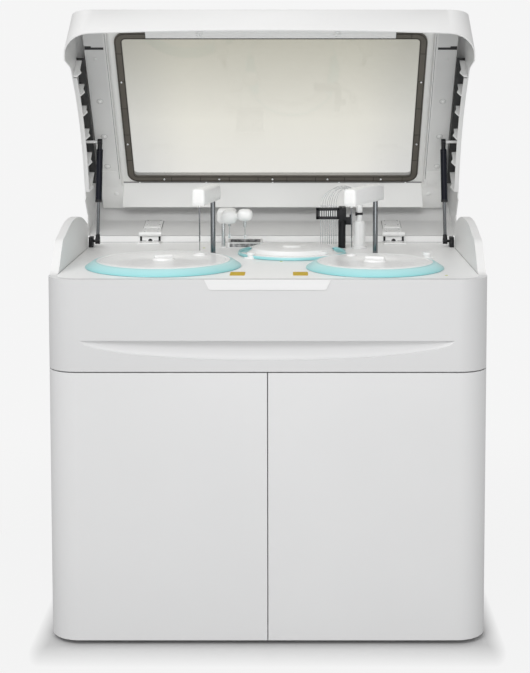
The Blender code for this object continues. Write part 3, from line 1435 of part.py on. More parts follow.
def make_photometer():
    """The photometer on the shelf behind the reaction tub, with its lens tube."""
    left, front, right, back, height = placed(METER_SHARES, UPPER_HEIGHT)
    meter = make_box("photometer", placed(METER_SHARES, UPPER_HEIGHT), SHELF_TOP)
    x, z = (left + right) / 2, SHELF_TOP + height / 2
    tube = rod("lens_tube", (x, front - LENS_LENGTH, z), (x, front + OVERRUN, z), LENS_RADIUS)
    return finish(fused(meter, tube), "black_plastic")


def make_inlet():
    """The inlet block in the rear panel, with a plug socket and the pocket of the switch."""
    flange_width = INLET_HALF_WIDTH + INLET_FLANGE
    flange_height = INLET_HALF_HEIGHT + INLET_FLANGE
    face = DEPTH + TOUCH
    inlet = block(
        "power_inlet", (INLET_X - flange_width, face, INLET_Z - flange_height),
        (INLET_X + flange_width, face + INLET_PLATE, INLET_Z + flange_height),
    )
    body = block(
        "inlet_body", (INLET_X - INLET_HALF_WIDTH, face - INLET_DEPTH, INLET_Z - INLET_HALF_HEIGHT),
        (INLET_X + INLET_HALF_WIDTH, face + INLET_PLATE / 2, INLET_Z + INLET_HALF_HEIGHT),
    )
    fused(inlet, body)
    low = INLET_Z - SOCKET_DROP
    socket = block(
        "plug_socket", (INLET_X - SOCKET_HALF_WIDTH, face - SOCKET_DEPTH, low - SOCKET_HALF_HEIGHT),
        (INLET_X + SOCKET_HALF_WIDTH, face + INLET_PLATE + OVERRUN, low + SOCKET_HALF_HEIGHT),
    )
    high = INLET_Z + ROCKER_RISE
    wide = ROCKER_HALF_WIDTH + TOUCH
    tall = ROCKER_HALF_HEIGHT + ROCKER_GAP
    pocket = block(
        "switch_pocket", (INLET_X - wide, face - ROCKER_DEPTH - ROCKER_GAP, high - tall),
        (INLET_X + wide, face + INLET_PLATE + OVERRUN, high + tall),
    )
    return finish(cut(inlet, socket, pocket), "black_plastic")


def make_rocker():
    """The switch rocker, tilted to its off side at rest, about the middle of its depth."""
    half = ROCKER_HALF_HEIGHT
    front = ROCKER_DEPTH / 2 + INLET_PLATE
    loop = [
        (-ROCKER_DEPTH / 2, -half / 2), (front + ROCKER_PROUD, -half), (front, 0),
        (front + ROCKER_PROUD, half), (-ROCKER_DEPTH / 2, half / 2),
    ]
    rocker = extruded("switch_rocker", [loop], -ROCKER_HALF_WIDTH, ROCKER_HALF_WIDTH, "X")
    rocker.data.transform(Matrix.Rotation(ROCKER_TILT, 4, "X"))
    rocker.location = (INLET_X, DEPTH + TOUCH - ROCKER_DEPTH / 2, INLET_Z + ROCKER_RISE)
    return finish(rocker, "black_plastic")


def hood_reach():
    """How far behind the front face the open hood reaches."""
    return max(opened(y, z)[0] for y, z in rounded(hood_envelope()) if z > HOOD_FOOT_Z)


def build():
    front_y = (LIP_PROUD - hood_reach()) / 2
    body = new_empty("front_face", (0, front_y, 0))
    fixed = make_feet() + [
        make_base_pan(), make_shelf(), make_rear_panel(), make_fascia(), make_deck(),
        make_supply(), make_cooler(), make_pump(), make_photometer(), make_inlet(), make_rocker(),
        make_tank("water_tank", placed(WATER_SHARES, SEAM_Z)),
        make_tank("waste_tank", placed(WASTE_SHARES, SEAM_Z)),
        make_tub("sample_tub", SAMPLE_X, SAMPLE_Y, SAMPLE_RADIUS, SAMPLE_DEPTH),
        make_tub("reagent_tub", REAGENT_X, REAGENT_Y, REAGENT_RADIUS, REAGENT_DEPTH),
        make_tub("reaction_tub", REACTION_X, REACTION_Y, REACTION_RADIUS, REACTION_DEPTH),
        make_reaction_cover(), make_wash_post(), make_tube_column(),
    ]
    for maker in (
        make_side_panel, make_upper_side, make_door, make_door_rod, make_hinge_base,
        make_strut_bracket, make_strut_rod, make_strut_cylinder,
    ):
        fixed += both_sides(maker)
    sample_holes = disk_rows(SAMPLE_RADIUS, CUP_EDGE, CUP_ROW, CUP_COUNTS, CUP_RADIUS)
    reagent_holes = disk_rows(REAGENT_RADIUS, BOTTLE_EDGE, BOTTLE_ROW, BOTTLE_COUNTS, BOTTLE_RADIUS)
    reaction_edge = REACTION_RADIUS - COVER_OVERLAP - TUB_WALL - DISK_GAP - CUVETTE_EDGE
    fixed += [
        make_disk("sample_disk", SAMPLE_X, SAMPLE_Y, SAMPLE_RADIUS, sample_holes),
        make_disk("reagent_disk", REAGENT_X, REAGENT_Y, REAGENT_RADIUS, reagent_holes),
        make_disk("reaction_disk", REACTION_X, REACTION_Y, REACTION_RADIUS, cuvette_holes(reaction_edge)),
        make_cover("sample_cover", SAMPLE_X, SAMPLE_Y, SAMPLE_RADIUS, SAMPLE_NEEDLE_X, SAMPLE_NEEDLE_Y),
        make_cover("reagent_cover", REAGENT_X, REAGENT_Y, REAGENT_RADIUS, REAGENT_NEEDLE_X, REAGENT_NEEDLE_Y),
        make_mast("sample_mast", SAMPLE_MAST_X, SAMPLE_MAST_Y),
        make_mast("reagent_mast", REAGENT_MAST_X, REAGENT_MAST_Y),
        make_arm(
            "sample_arm", (SAMPLE_MAST_X, SAMPLE_MAST_Y), (SAMPLE_NEEDLE_X, SAMPLE_NEEDLE_Y), SAMPLE_TIP_Z
        ),
        make_arm(
            "reagent_arm", (REAGENT_MAST_X, REAGENT_MAST_Y), (REAGENT_NEEDLE_X, REAGENT_NEEDLE_Y),
            REAGENT_TIP_Z,
        ),
        make_mixer_column(), make_mixer_head(), make_wash_head(),
        make_paddle("mixer_paddle_left", PADDLE_A_X, PADDLE_A_Y, MIXER_BOTTOM_Z),
        make_paddle("mixer_paddle_right", PADDLE_B_X, PADDLE_B_Y, MIXER_BOTTOM_Z + MIXER_STEP),
    ]
    carry(body, *fixed)
    hinge = (0, HINGE_Y, HINGE_Z)
    hood = new_empty("hood_hinge", hinge, body, -OPEN_ANGLE)
    hood_pieces = [make_hood_shell(), make_liner(), make_gasket(), make_window(), make_lamp()]
    hood_pieces += both_sides(make_hinge_leaf)
    carry(hood, *hood_pieces, built_at=hinge)


clear_scene()
parts = new_collection("chemistry_analyzer")
cutters = new_collection("cutters")
build()
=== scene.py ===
"""Looks of the floor-standing analyzer: materials, fine detail, floor, light and camera.

Lengths are in metres. Depths are measured behind the front face of the doors, as in
the part's source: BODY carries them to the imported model. Pieces of the hood are built
for the shut hood and HOOD turns them open. PANE is the space of the window: X across,
Y along the pane from the hood's front edge back to the hinges, and -Z on the inside.
"""

import json
import math

import bmesh
import bpy
from mathutils import Matrix, Vector

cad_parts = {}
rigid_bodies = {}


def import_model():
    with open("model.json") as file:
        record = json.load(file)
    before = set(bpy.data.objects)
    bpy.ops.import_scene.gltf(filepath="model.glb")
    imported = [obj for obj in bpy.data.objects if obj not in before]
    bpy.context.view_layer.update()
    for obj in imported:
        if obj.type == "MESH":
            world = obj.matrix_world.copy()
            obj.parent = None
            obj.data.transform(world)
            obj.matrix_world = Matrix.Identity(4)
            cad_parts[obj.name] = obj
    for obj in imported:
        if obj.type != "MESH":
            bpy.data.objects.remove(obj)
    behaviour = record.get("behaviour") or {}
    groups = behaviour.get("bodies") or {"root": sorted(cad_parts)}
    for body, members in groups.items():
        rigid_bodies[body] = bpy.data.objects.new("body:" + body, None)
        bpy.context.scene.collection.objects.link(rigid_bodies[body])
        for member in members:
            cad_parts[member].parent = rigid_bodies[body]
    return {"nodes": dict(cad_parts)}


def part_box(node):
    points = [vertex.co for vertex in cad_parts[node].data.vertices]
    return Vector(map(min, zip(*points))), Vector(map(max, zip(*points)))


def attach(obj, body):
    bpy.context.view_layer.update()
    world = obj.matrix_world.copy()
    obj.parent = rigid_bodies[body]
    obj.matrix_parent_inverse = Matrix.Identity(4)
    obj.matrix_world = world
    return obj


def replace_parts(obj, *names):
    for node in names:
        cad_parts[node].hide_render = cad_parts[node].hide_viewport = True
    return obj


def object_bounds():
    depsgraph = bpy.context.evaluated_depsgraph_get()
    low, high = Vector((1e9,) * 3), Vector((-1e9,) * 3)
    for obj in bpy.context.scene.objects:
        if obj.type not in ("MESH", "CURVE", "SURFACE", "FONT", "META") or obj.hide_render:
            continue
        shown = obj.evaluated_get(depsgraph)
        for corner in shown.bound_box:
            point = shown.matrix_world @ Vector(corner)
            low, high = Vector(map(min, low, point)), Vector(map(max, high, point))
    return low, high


for old in list(bpy.data.objects):
    bpy.data.objects.remove(old, do_unlink=True)
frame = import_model()
CAD_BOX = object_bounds()
NODES = frame["nodes"]

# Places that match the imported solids
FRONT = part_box("door_left")[0].y
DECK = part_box("deck_cover")[1].z - 0.017
HINGE_X, HINGE_Y, HINGE_Z = 0.355, 0.720, 0.930
OPEN_ANGLE = math.radians(55.7)
PANE_TILT = math.radians(2.8)
PANE_Y, PANE_Z = 0.150, 1.105
# Disk covers as (X, Y, radius), then places on the deck as (X, Y)
SAMPLE = (-0.2717, 0.233, 0.2003)
REAGENT = (0.2708, 0.2034, 0.1762)
REACTION = (0.059, 0.475, 0.149)
SAMPLE_NEEDLE = (-0.1836, 0.3124)
REAGENT_NEEDLE = (0.215, 0.304)
SAMPLE_MAST, REAGENT_MAST, MIXER_COLUMN = (-0.157, 0.460), (0.286, 0.454), (-0.136, 0.606)
COLUMN = (0.249, 0.595)
COVER_HEIGHT = 0.018
# Left, right, front and rear of the wash well
WELL = (-0.124, -0.026, 0.600, 0.680)
PROBES, PROBE_Y = 8, 0.557
STRUT_X, STRUT_LENGTH = 0.4945, 0.287098
STRUT_AXIS = Vector((0, 0.240697, 0.970599))
SEAL_HALF, SEAL_LOW, SEAL_HIGH, SEAL_FACE = 0.434, -0.016, 0.532, -0.0064
RAIL_X, RAIL_FACE = 0.487, -0.0300
# Outlines in the side view of the shut hood, as (Y, Z): the cheek's arc and its fall, and the rear wall
CHEEK_CENTRE, CHEEK_RADIUS = (0.385, 0.424), 0.589
CHEEK_BEND, CHEEK_END = (0.556, 0.9875), (0.613, 0.969)
WALL_LOW, WALL_HIGH = (0.734, 0.937), (0.785, 1.060)
REAR_FACE = 0.785
BACKDROP = (0.915, 0.915, 0.915, 1)

HOOD = (
    Matrix.Translation((0, FRONT + HINGE_Y, HINGE_Z)) @ Matrix.Rotation(-OPEN_ANGLE, 4, "X")
    @ Matrix.Translation((0, -HINGE_Y, -HINGE_Z))
)
PANE = HOOD @ Matrix.Translation((0, PANE_Y, PANE_Z)) @ Matrix.Rotation(PANE_TILT, 4, "X")
BODY = Matrix.Translation((0, FRONT, 0))


# Materials


def new_material(name):
    material = bpy.data.materials.new(name)
    material.use_nodes = True
    tree = material.node_tree
    return material, tree, tree.nodes["Principled BSDF"]


def wire(tree, value, socket):
    """Links an output to a socket, or sets a plain value on it."""
    if isinstance(value, bpy.types.NodeSocket):
        tree.links.new(value, socket)
    else:
        socket.default_value = value


def wire_all(tree, node, **values):
    """Wires inputs by name, with _ for a space."""
    for name, value in values.items():
        wire(tree, value, node.inputs[name.replace("_", " ")])
    return node


def add_node(tree, kind, **values):
    return wire_all(tree, tree.nodes.new(f"ShaderNode{kind}"), **values)


def add_math(tree, operation, *values, kind="Math", result="Value"):
    node = tree.nodes.new(f"ShaderNode{kind}")
    node.operation = operation
    for value, socket in zip(values, node.inputs):
        wire(tree, value, socket)
    return node.outputs[result]


def noise(tree, scale, detail=3.0, stretch=None):
    """A noise over object coordinates, optionally stretched along the axes."""
    source = add_node(tree, "TexCoord").outputs["Object"]
    if stretch:
        source = add_node(tree, "Mapping", Scale=stretch, Vector=source).outputs["Vector"]
    return add_node(tree, "TexNoise", Scale=scale, Detail=detail, Vector=source).outputs["Fac"]


def ramp(tree, factor, stops):
    node = tree.nodes.new("ShaderNodeValToRGB")
    node.color_ramp.elements[0].position, first = stops[0]
    node.color_ramp.elements[0].color = (*first, 1)
    node.color_ramp.elements[1].position, last = stops[-1]
    node.color_ramp.elements[1].color = (*last, 1)
    for position, colour in stops[1:-1]:
        node.color_ramp.elements.new(position).color = (*colour, 1)
    tree.links.new(factor, node.inputs["Fac"])
    return node.outputs["Color"]


def remap(tree, value, start=0.0, end=1.0, low=0.0, high=1.0, smooth=False):
    """Carries the span from start to end over to low to high, held at both ends."""
    node = add_node(tree, "MapRange", Value=value, From_Min=start, From_Max=end, To_Min=low, To_Max=high)
    if smooth:
        node.interpolation_type = "SMOOTHSTEP"
    return node.outputs["Result"]


def position(tree, axis):
    """One coordinate of the surface in the object's own space."""
    place = add_node(tree, "TexCoord").outputs["Object"]
    return add_node(tree, "SeparateXYZ", Vector=place).outputs[axis]


def blended(tree, factor, first, second, way="MIX"):
    node = tree.nodes.new("ShaderNodeMix")
    node.data_type = "RGBA"
    node.blend_type = way
    wire_all(tree, node, Factor=factor, A=first, B=second)
    return node.outputs["Result"]


def gloss(tree, scale, low, high, detail=3.0):
    """Uneven roughness between two values."""
    return remap(tree, noise(tree, scale, detail), low=low, high=high)


def grained(tree, shader, fine, low, high, bump):
    """Uneven gloss and a faint relief, both from one fine noise."""
    relief = add_node(tree, "Bump", Strength=bump, Distance=0.0004, Height=fine)
    roughness = remap(tree, fine, low=low, high=high)
    wire_all(tree, shader, Roughness=roughness, Normal=relief.outputs["Normal"])


def surface(
    name, colour, roughness, grain=900.0, bump=0.04, drift=0.02, metal=0.0, coat=0.0, stretch=None,
    specular=0.5,
):
    """A moulded, painted or metal surface: broad colour drift, fine grain and uneven gloss."""
    material, tree, shader = new_material(name)
    darker = tuple(value * (1 - drift) for value in colour)
    lighter = tuple(min(value * (1 + drift), 1) for value in colour)
    broad = ramp(tree, noise(tree, 3.0), [(0.3, darker), (0.7, lighter)])
    wire_all(
        tree, shader, Base_Color=broad, Metallic=metal, Coat_Weight=coat, Specular_IOR_Level=specular
    )
    grained(tree, shader, noise(tree, grain, 2.0, stretch), roughness * 0.88, roughness * 1.12, bump)
    return material


def make_teal():
    """Tinted rim of the disk covers, darker towards its foot."""
    material, tree, shader = new_material("teal_rim")
    level = remap(tree, position(tree, "Z"), DECK, DECK + COVER_HEIGHT)
    stops = [(0.0, (0.23, 0.59, 0.61)), (0.35, (0.36, 0.70, 0.72)), (1.0, (0.47, 0.77, 0.78))]
    wire_all(
        tree, shader, Base_Color=ramp(tree, level, stops), Roughness=gloss(tree, 500.0, 0.26, 0.34),
        Coat_Weight=0.3,
    )
    return material


def make_fascia():
    """Satin grey, and white where the front lip stands proud of the face."""
    material, tree, shader = new_material("fascia_grey")
    grey = ramp(tree, noise(tree, 3.0), [(0.3, (0.640, 0.641, 0.643)), (0.7, (0.655, 0.656, 0.658))])
    proud = add_math(tree, "LESS_THAN", position(tree, "Y"), FRONT - 0.0003)
    wire_all(
        tree, shader, Base_Color=blended(tree, proud, grey, (0.77, 0.77, 0.77, 1)),
        Roughness=gloss(tree, 1400.0, 0.32, 0.40, 2.0),
    )
    return material


def make_pane():
    """Tinted clear sheet, with painted shade: warmer and darker towards the hood's front edge, darker at its
    sides.
    """
    material, tree, shader = new_material("tinted_pane_painted_shade")
    # Painted shade: the ramp darkens the pane towards the hood's front edge, and the side mask darkens it at
    # its sides.
    level = remap(tree, position(tree, "Z"), 1.05, 1.52)
    stops = [(0.0, (0.91, 0.90, 0.86)), (0.45, (0.86, 0.845, 0.765)), (1.0, (0.50, 0.485, 0.405))]
    painted_shade_edge = remap(tree, add_math(tree, "ABSOLUTE", position(tree, "X")), 0.22, 0.43, smooth=True)
    tint_and_painted_shade = blended(tree, painted_shade_edge, ramp(tree, level, stops), (0.83, 0.84, 0.87, 1), "MULTIPLY")
    wire_all(
        tree, shader, Base_Color=tint_and_painted_shade, Roughness=gloss(tree, 40.0, 0.02, 0.05),
        Transmission_Weight=1.0, IOR=1.45,
    )
    return material


def make_liner():
    """Satin pale liner, with painted shade that greys its side rails towards the hood's front edge."""
    material, tree, shader = new_material("liner_pale_painted_shade")
    pale = ramp(tree, noise(tree, 3.0), [(0.3, (0.92, 0.92, 0.905)), (0.7, (0.935, 0.935, 0.92))])
    # Painted shade: the side rails darken towards the hood's front edge.
    beside = remap(tree, add_math(tree, "ABSOLUTE", position(tree, "X")), 0.445, 0.462)
    amount = add_math(tree, "MULTIPLY", beside, remap(tree, position(tree, "Z"), 1.02, 1.36))
    shade = blended(tree, amount, pale, (0.66, 0.66, 0.665, 1), "MULTIPLY")
    wire_all(tree, shader, Base_Color=shade)
    grained(tree, shader, noise(tree, 900.0, 2.0), 0.37, 0.47, 0.04)
    return material


def make_mottled():
    """Dark lining of the wash well as painted shade of the recess, mottled with pale painted reflections."""
    material, tree, shader = new_material("well_painted_shade_reflections")
    # Painted shade in the dark stops, painted reflections in the pale ones.
    stops = [(0.35, (0.10, 0.10, 0.102)), (0.55, (0.28, 0.28, 0.28)), (0.72, (0.6, 0.6, 0.6))]
    wire_all(
        tree, shader, Base_Color=ramp(tree, noise(tree, 70.0), stops), Roughness=gloss(tree, 90.0, 0.12, 0.35)
    )
    return material


def make_tube_clear():
    """Slightly milky clear tube."""
    material, tree, shader = new_material("clear_tube")
    milky = ramp(tree, noise(tree, 60.0), [(0.3, (0.80, 0.81, 0.81)), (0.7, (0.93, 0.94, 0.94))])
    wire_all(
        tree, shader, Base_Color=milky, Roughness=gloss(tree, 300.0, 0.08, 0.16), Transmission_Weight=0.45
    )
    return material


LOOKS = {
    "shell": surface("satin_white", (0.775, 0.775, 0.77), 0.38, coat=0.1),
    "bright": surface("gloss_white", (0.88, 0.88, 0.875), 0.28, bump=0.02, drift=0.01, coat=0.2),
    "deck": surface("deck_white", (0.91, 0.91, 0.905), 0.34, bump=0.03, drift=0.015),
    "door": surface("door_grey", (0.715, 0.716, 0.718), 0.40, grain=1400.0, drift=0.012),
    "fascia": make_fascia(),
    "liner": make_liner(),
    "gasket": surface("gasket_brown", (0.112, 0.100, 0.082), 0.42, grain=300.0, bump=0.15, drift=0.15),
    "gasket_dark": surface("gasket_seam", (0.022, 0.019, 0.016), 0.55, drift=0.1),
    "steel": surface("ground_steel", (0.62, 0.63, 0.64), 0.22, metal=1.0, stretch=(1, 1, 0.05)),
    "chrome": surface("bright_steel", (0.80, 0.81, 0.82), 0.10, bump=0.01, metal=1.0),
    "mast": surface("coated_mast", (0.20, 0.21, 0.22), 0.14, metal=1.0, stretch=(1, 1, 0.05)),
    "black": surface("black_moulding", (0.010, 0.010, 0.012), 0.42, bump=0.08, drift=0.1, specular=0.3),
    "cylinder": surface("black_lacquer", (0.008, 0.009, 0.015), 0.16, bump=0.01, drift=0.1, specular=0.15),
    "zinc": surface("zinc_sheet", (0.52, 0.53, 0.54), 0.38, grain=120.0, bump=0.06, drift=0.08, metal=1.0),
    "module": surface("module_casing", (0.50, 0.51, 0.52), 0.42, drift=0.04),
    "rubber": surface("foot_rubber", (0.022, 0.022, 0.022), 0.72, bump=0.12, drift=0.1),
    "tank": surface("tank_moulding", (0.72, 0.76, 0.78), 0.30, grain=80.0, bump=0.05, drift=0.03),
    "amber": surface("amber_pad", (0.58, 0.39, 0.008), 0.6, drift=0.08),
    "lime": surface("lime_dot", (0.55, 0.62, 0.08), 0.45, drift=0.05),
    "mottled": make_mottled(),
    # Painted shadow: near black for sheets laid where parts of the hood fall in shade.
    "shadow": surface("painted_shadow_dark", (0.030, 0.030, 0.031), 0.60, drift=0.1),
    # Dark grey for real seams and strips, also used as painted shade round bosses and painted shadow round
    # hinge plates.
    "seam_and_shade": surface("grey_seam_and_painted_shade", (0.30, 0.30, 0.30), 0.55, drift=0.05),
    "teal": make_teal(),
    "pane": make_pane(),
    "clear": make_tube_clear(),
}

NODE_LOOKS = {
    "shell": ["upper_side_left", "upper_side_right", "lid_shell"],
    "fascia": ["front_fascia"],
    "door": ["door_left", "door_right", "side_panel_left", "side_panel_right", "rear_panel"],
    "deck": ["deck_cover"],
    "bright": [
        "lid_light_bar", "hinge_base_left", "hinge_base_right", "hinge_leaf_left", "hinge_leaf_right",
        "sample_disk", "reagent_disk", "reaction_disk", "tube_column", "mixer_head",
        "sample_arm", "reagent_arm", "sample_cover", "reagent_cover", "reaction_cover",
    ],
    "liner": ["lid_liner"],
    "gasket": ["window_gasket"],
    "pane": ["lid_window"],
    "steel": [
        "door_hinge_rod_left", "door_hinge_rod_right", "mixer_paddle_left", "mixer_paddle_right",
        "mixer_column",
    ],
    "mast": ["sample_mast", "reagent_mast", "strut_rod_left", "strut_rod_right"],
    "black": [
        "sample_tub", "reagent_tub", "reaction_tub", "wash_head", "photometer", "power_inlet",
        "switch_rocker", "strut_bracket_left", "strut_bracket_right", "wash_post",
    ],
    "cylinder": ["strut_cylinder_left", "strut_cylinder_right"],
    "zinc": ["base_pan", "mid_shelf"],
    "module": ["power_supply", "cooling_unit", "syringe_pump"],
    "tank": ["water_tank", "waste_tank"],
    "rubber": ["foot_front_left", "foot_front_right", "foot_rear_left", "foot_rear_right"],
}
SOFT_EDGES = {"front_fascia": 0.0012, "door_left": 0.0012, "door_right": 0.0012}


def smoothing():
    """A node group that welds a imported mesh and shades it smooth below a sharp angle."""
    group = bpy.data.node_groups.new("smooth_by_angle", "GeometryNodeTree")
    for way in ("INPUT", "OUTPUT"):
        group.interface.new_socket("Geometry", in_out=way, socket_type="NodeSocketGeometry")
    start = group.nodes.new("NodeGroupInput")
    end = group.nodes.new("NodeGroupOutput")
    weld = group.nodes.new("GeometryNodeMergeByDistance")
    weld.inputs["Distance"].default_value = 0.00002
    plain = group.nodes.new("GeometryNodeRemoveAttribute")
    plain.inputs["Name"].default_value = "custom_normal"
    faces = group.nodes.new("GeometryNodeSetShadeSmooth")
    angle = group.nodes.new("GeometryNodeInputMeshEdgeAngle")
    sharp = group.nodes.new("FunctionNodeCompare")
    sharp.operation = "GREATER_THAN"
    sharp.inputs["B"].default_value = math.radians(32)
    edges = group.nodes.new("GeometryNodeSetShadeSmooth")
    edges.domain = "EDGE"
    edges.inputs["Shade Smooth"].default_value = False
    link = group.links.new
    link(start.outputs[0], weld.inputs["Geometry"])
    link(weld.outputs["Geometry"], plain.inputs["Geometry"])
    link(plain.outputs["Geometry"], faces.inputs["Geometry"])
    link(faces.outputs["Geometry"], edges.inputs["Geometry"])
    link(angle.outputs["Unsigned Angle"], sharp.inputs["A"])
    link(sharp.outputs["Result"], edges.inputs["Selection"])
    link(edges.outputs["Geometry"], end.inputs[0])
    return group


def dress_nodes():
    """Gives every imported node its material, smooth shading and, where named, softer edges."""
    group = smoothing()
    for look, names in NODE_LOOKS.items():
        for name in names:
            node = NODES[name]
            node.data.materials.clear()
            node.data.materials.append(LOOKS[look])
            node.modifiers.new("smoothing", "NODES").node_group = group
            if name in SOFT_EDGES:
                bevel = node.modifiers.new("soft_edges", "BEVEL")
                bevel.width = SOFT_EDGES[name]
                bevel.segments = 2
                bevel.limit_method = "ANGLE"
                bevel.angle_limit = math.radians(50)
                bevel.harden_normals = True


# Mesh helpers


def add_object(name, data):
    obj = bpy.data.objects.new(name, data)
    bpy.context.scene.collection.objects.link(obj)
    return obj


def mesh_of(shape, name):
    """The mesh of a bmesh, which is freed."""
    mesh = bpy.data.meshes.new(name)
    shape.to_mesh(mesh)
    shape.free()
    return mesh


def piece(name, shape, look, body, place=BODY, smooth_angle=35.0):
    """Makes an object of a bmesh, in its place, that rides on a body."""
    shape.transform(place)
    bmesh.ops.recalc_face_normals(shape, faces=shape.faces)
    mesh = mesh_of(shape, name)
    mesh.shade_smooth()
    mesh.set_sharp_from_angle(angle=math.radians(smooth_angle))
    obj = add_object(name, mesh)
    mesh.materials.append(LOOKS[look])
    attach(obj, body)
    return obj


def merged(*shapes):
    """One bmesh that holds several."""
    whole = bmesh.new()
    for shape in shapes:
        mesh = mesh_of(shape, "part")
        whole.from_mesh(mesh)
        bpy.data.meshes.remove(mesh)
    return whole


def box_shape(low, high, rounding=0.0, segments=3):
    low, high = Vector(low), Vector(high)
    shape = bmesh.new()
    bmesh.ops.create_cube(shape, size=1)
    size = high - low
    shape.transform(Matrix.Translation((low + high) / 2) @ Matrix.Diagonal((*size, 1)))
    if rounding:
        bmesh.ops.bevel(
            shape, geom=shape.edges[:], offset=rounding, segments=segments, profile=0.5, affect="EDGES"
        )
    return shape


def side_box(sign, near, far, low, high, rounding=0.0):
    """A box on one side, from near to far of the middle, between two corners given as (Y, Z)."""
    left, right = sorted((sign * near, sign * far))
    return box_shape((left, *low), (right, *high), rounding)


def bridge(shape, rings, closed=False):
    """Joins rings of vertices of the same count with faces."""
    pairs = zip(rings, rings[1:] + rings[:1]) if closed else zip(rings, rings[1:])
    for first, second in pairs:
        for corner in range(len(first)):
            following = (corner + 1) % len(first)
            shape.faces.new((first[corner], first[following], second[following], second[corner]))


def facing(centre, axis):
    """Turns a shape that stands on the origin along Z to stand on a place along an axis."""
    return Matrix.Translation(centre) @ Vector(axis).to_track_quat("Z", "Y").to_matrix().to_4x4()


def turned_shape(profile, centre=(0, 0, 0), steps=96):
    """A closed or open profile of (radius, height) turned about Z."""
    shape = bmesh.new()
    rings = []
    for radius, height in profile:
        if radius < 1e-6:
            rings.append([shape.verts.new((0, 0, height))])
            continue
        rings.append([
            shape.verts.new((
                radius * math.cos(2 * math.pi * step / steps),
                radius * math.sin(2 * math.pi * step / steps), height,
            ))
            for step in range(steps)
        ])
    for low, high in zip(rings, rings[1:]):
        for step in range(steps):
            following = (step + 1) % steps
            corners = [low[step % len(low)], low[following % len(low)]]
            corners += [high[following % len(high)], high[step % len(high)]]
            unique = list(dict.fromkeys(corners))
            if len(unique) > 2:
                shape.faces.new(unique)
    shape.transform(Matrix.Translation(centre))
    return shape


def rod_shape(start, end, radius, sides=20, end_radius=None):
    start, end = Vector(start), Vector(end)
    along = end - start
    shape = bmesh.new()
    bmesh.ops.create_cone(
        shape, cap_ends=True, segments=sides, radius1=radius,
        radius2=radius if end_radius is None else end_radius, depth=along.length,
    )
    shape.transform(facing((start + end) / 2, along))
    return shape


def dome_shape(centre, radius, height, axis=(0, 0, 1), steps=24, rings=5):
    """A low dome, such as a screw head or boss, standing along an axis."""
    profile = [(radius, 0)]
    for ring in range(1, rings + 1):
        turn = math.pi / 2 * ring / rings
        profile.append((radius * math.cos(turn), height * math.sin(turn)))
    profile[-1] = (0, height)
    shape = turned_shape([(0, 0)] + profile, steps=steps)
    shape.transform(facing(centre, axis))
    return shape


def plate_shape(outline, low, high):
    """A flat outline extruded along Z."""
    shape = bmesh.new()
    bottom = [shape.verts.new((a, b, low)) for a, b in outline]
    top = [shape.verts.new((a, b, high)) for a, b in outline]
    shape.faces.new(list(reversed(bottom)))
    shape.faces.new(top)
    bridge(shape, [bottom, top])
    return shape


def frame_shape(outer, inner, low, high):
    """A flat ring between two outlines of the same count, extruded along Z."""
    shape = bmesh.new()
    rings = [
        [shape.verts.new((a, b, z)) for a, b in loop]
        for loop, z in ((outer, low), (outer, high), (inner, high), (inner, low))
    ]
    bridge(shape, rings, closed=True)
    return shape


def round_rectangle(left, low, right, high, radius, steps=6):
    points = []
    for cx, cy, start in (
        (right - radius, low + radius, -90), (right - radius, high - radius, 0),
        (left + radius, high - radius, 90), (left + radius, low + radius, 180),
    ):
        for step in range(steps + 1):
            turn = math.radians(start + 90 * step / steps)
            points.append((cx + radius * math.cos(turn), cy + radius * math.sin(turn)))
    return points


def tube_piece(name, points, radius, look, body):
    """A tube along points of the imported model's space."""
    curve = bpy.data.curves.new(name, "CURVE")
    curve.dimensions = "3D"
    curve.bevel_depth = radius
    curve.bevel_resolution = 2
    curve.use_fill_caps = True
    spline = curve.splines.new("POLY")
    spline.points.add(len(points) - 1)
    for place, point in zip(spline.points, points):
        place.co = (*point, 1)
    obj = add_object(name, curve)
    curve.materials.append(LOOKS[look])
    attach(obj, body)
    return obj


def cut_shapes(obj, shape, name):
    """Takes a shape, given behind the front face, out of a piece."""
    shape.transform(BODY)
    tool = add_object(name, mesh_of(shape, name))
    change = obj.modifiers.new(name, "BOOLEAN")
    change.operation = "DIFFERENCE"
    change.solver = "EXACT"
    change.object = tool
    bpy.context.view_layer.update()
    graph = bpy.context.evaluated_depsgraph_get()
    cut = bpy.data.meshes.new_from_object(obj.evaluated_get(graph))
    obj.modifiers.clear()
    obj.data = cut
    bpy.data.objects.remove(tool, do_unlink=True)
    return obj


# Camera, floor and light


def mix_shaders(tree, factor, first, second):
    node = add_node(tree, "MixShader", Fac=factor)
    tree.links.new(first, node.inputs[1])
    tree.links.new(second, node.inputs[2])
    return node.outputs["Shader"]


def make_camera():
    """The camera worked out from the photo; its tilt is below level, the rest is shift."""
    camera = bpy.data.cameras.new("camera")
    camera.sensor_width = 36
    camera.lens = 75.61
    camera.shift_x = -0.0424
    camera.shift_y = -0.2413
    obj = add_object("camera", camera)
    obj.location = (0.063, FRONT - 3.378, 1.4184)
    obj.rotation_euler = (math.pi / 2 - 0.0763, 0, 0)
    bpy.context.scene.camera = obj


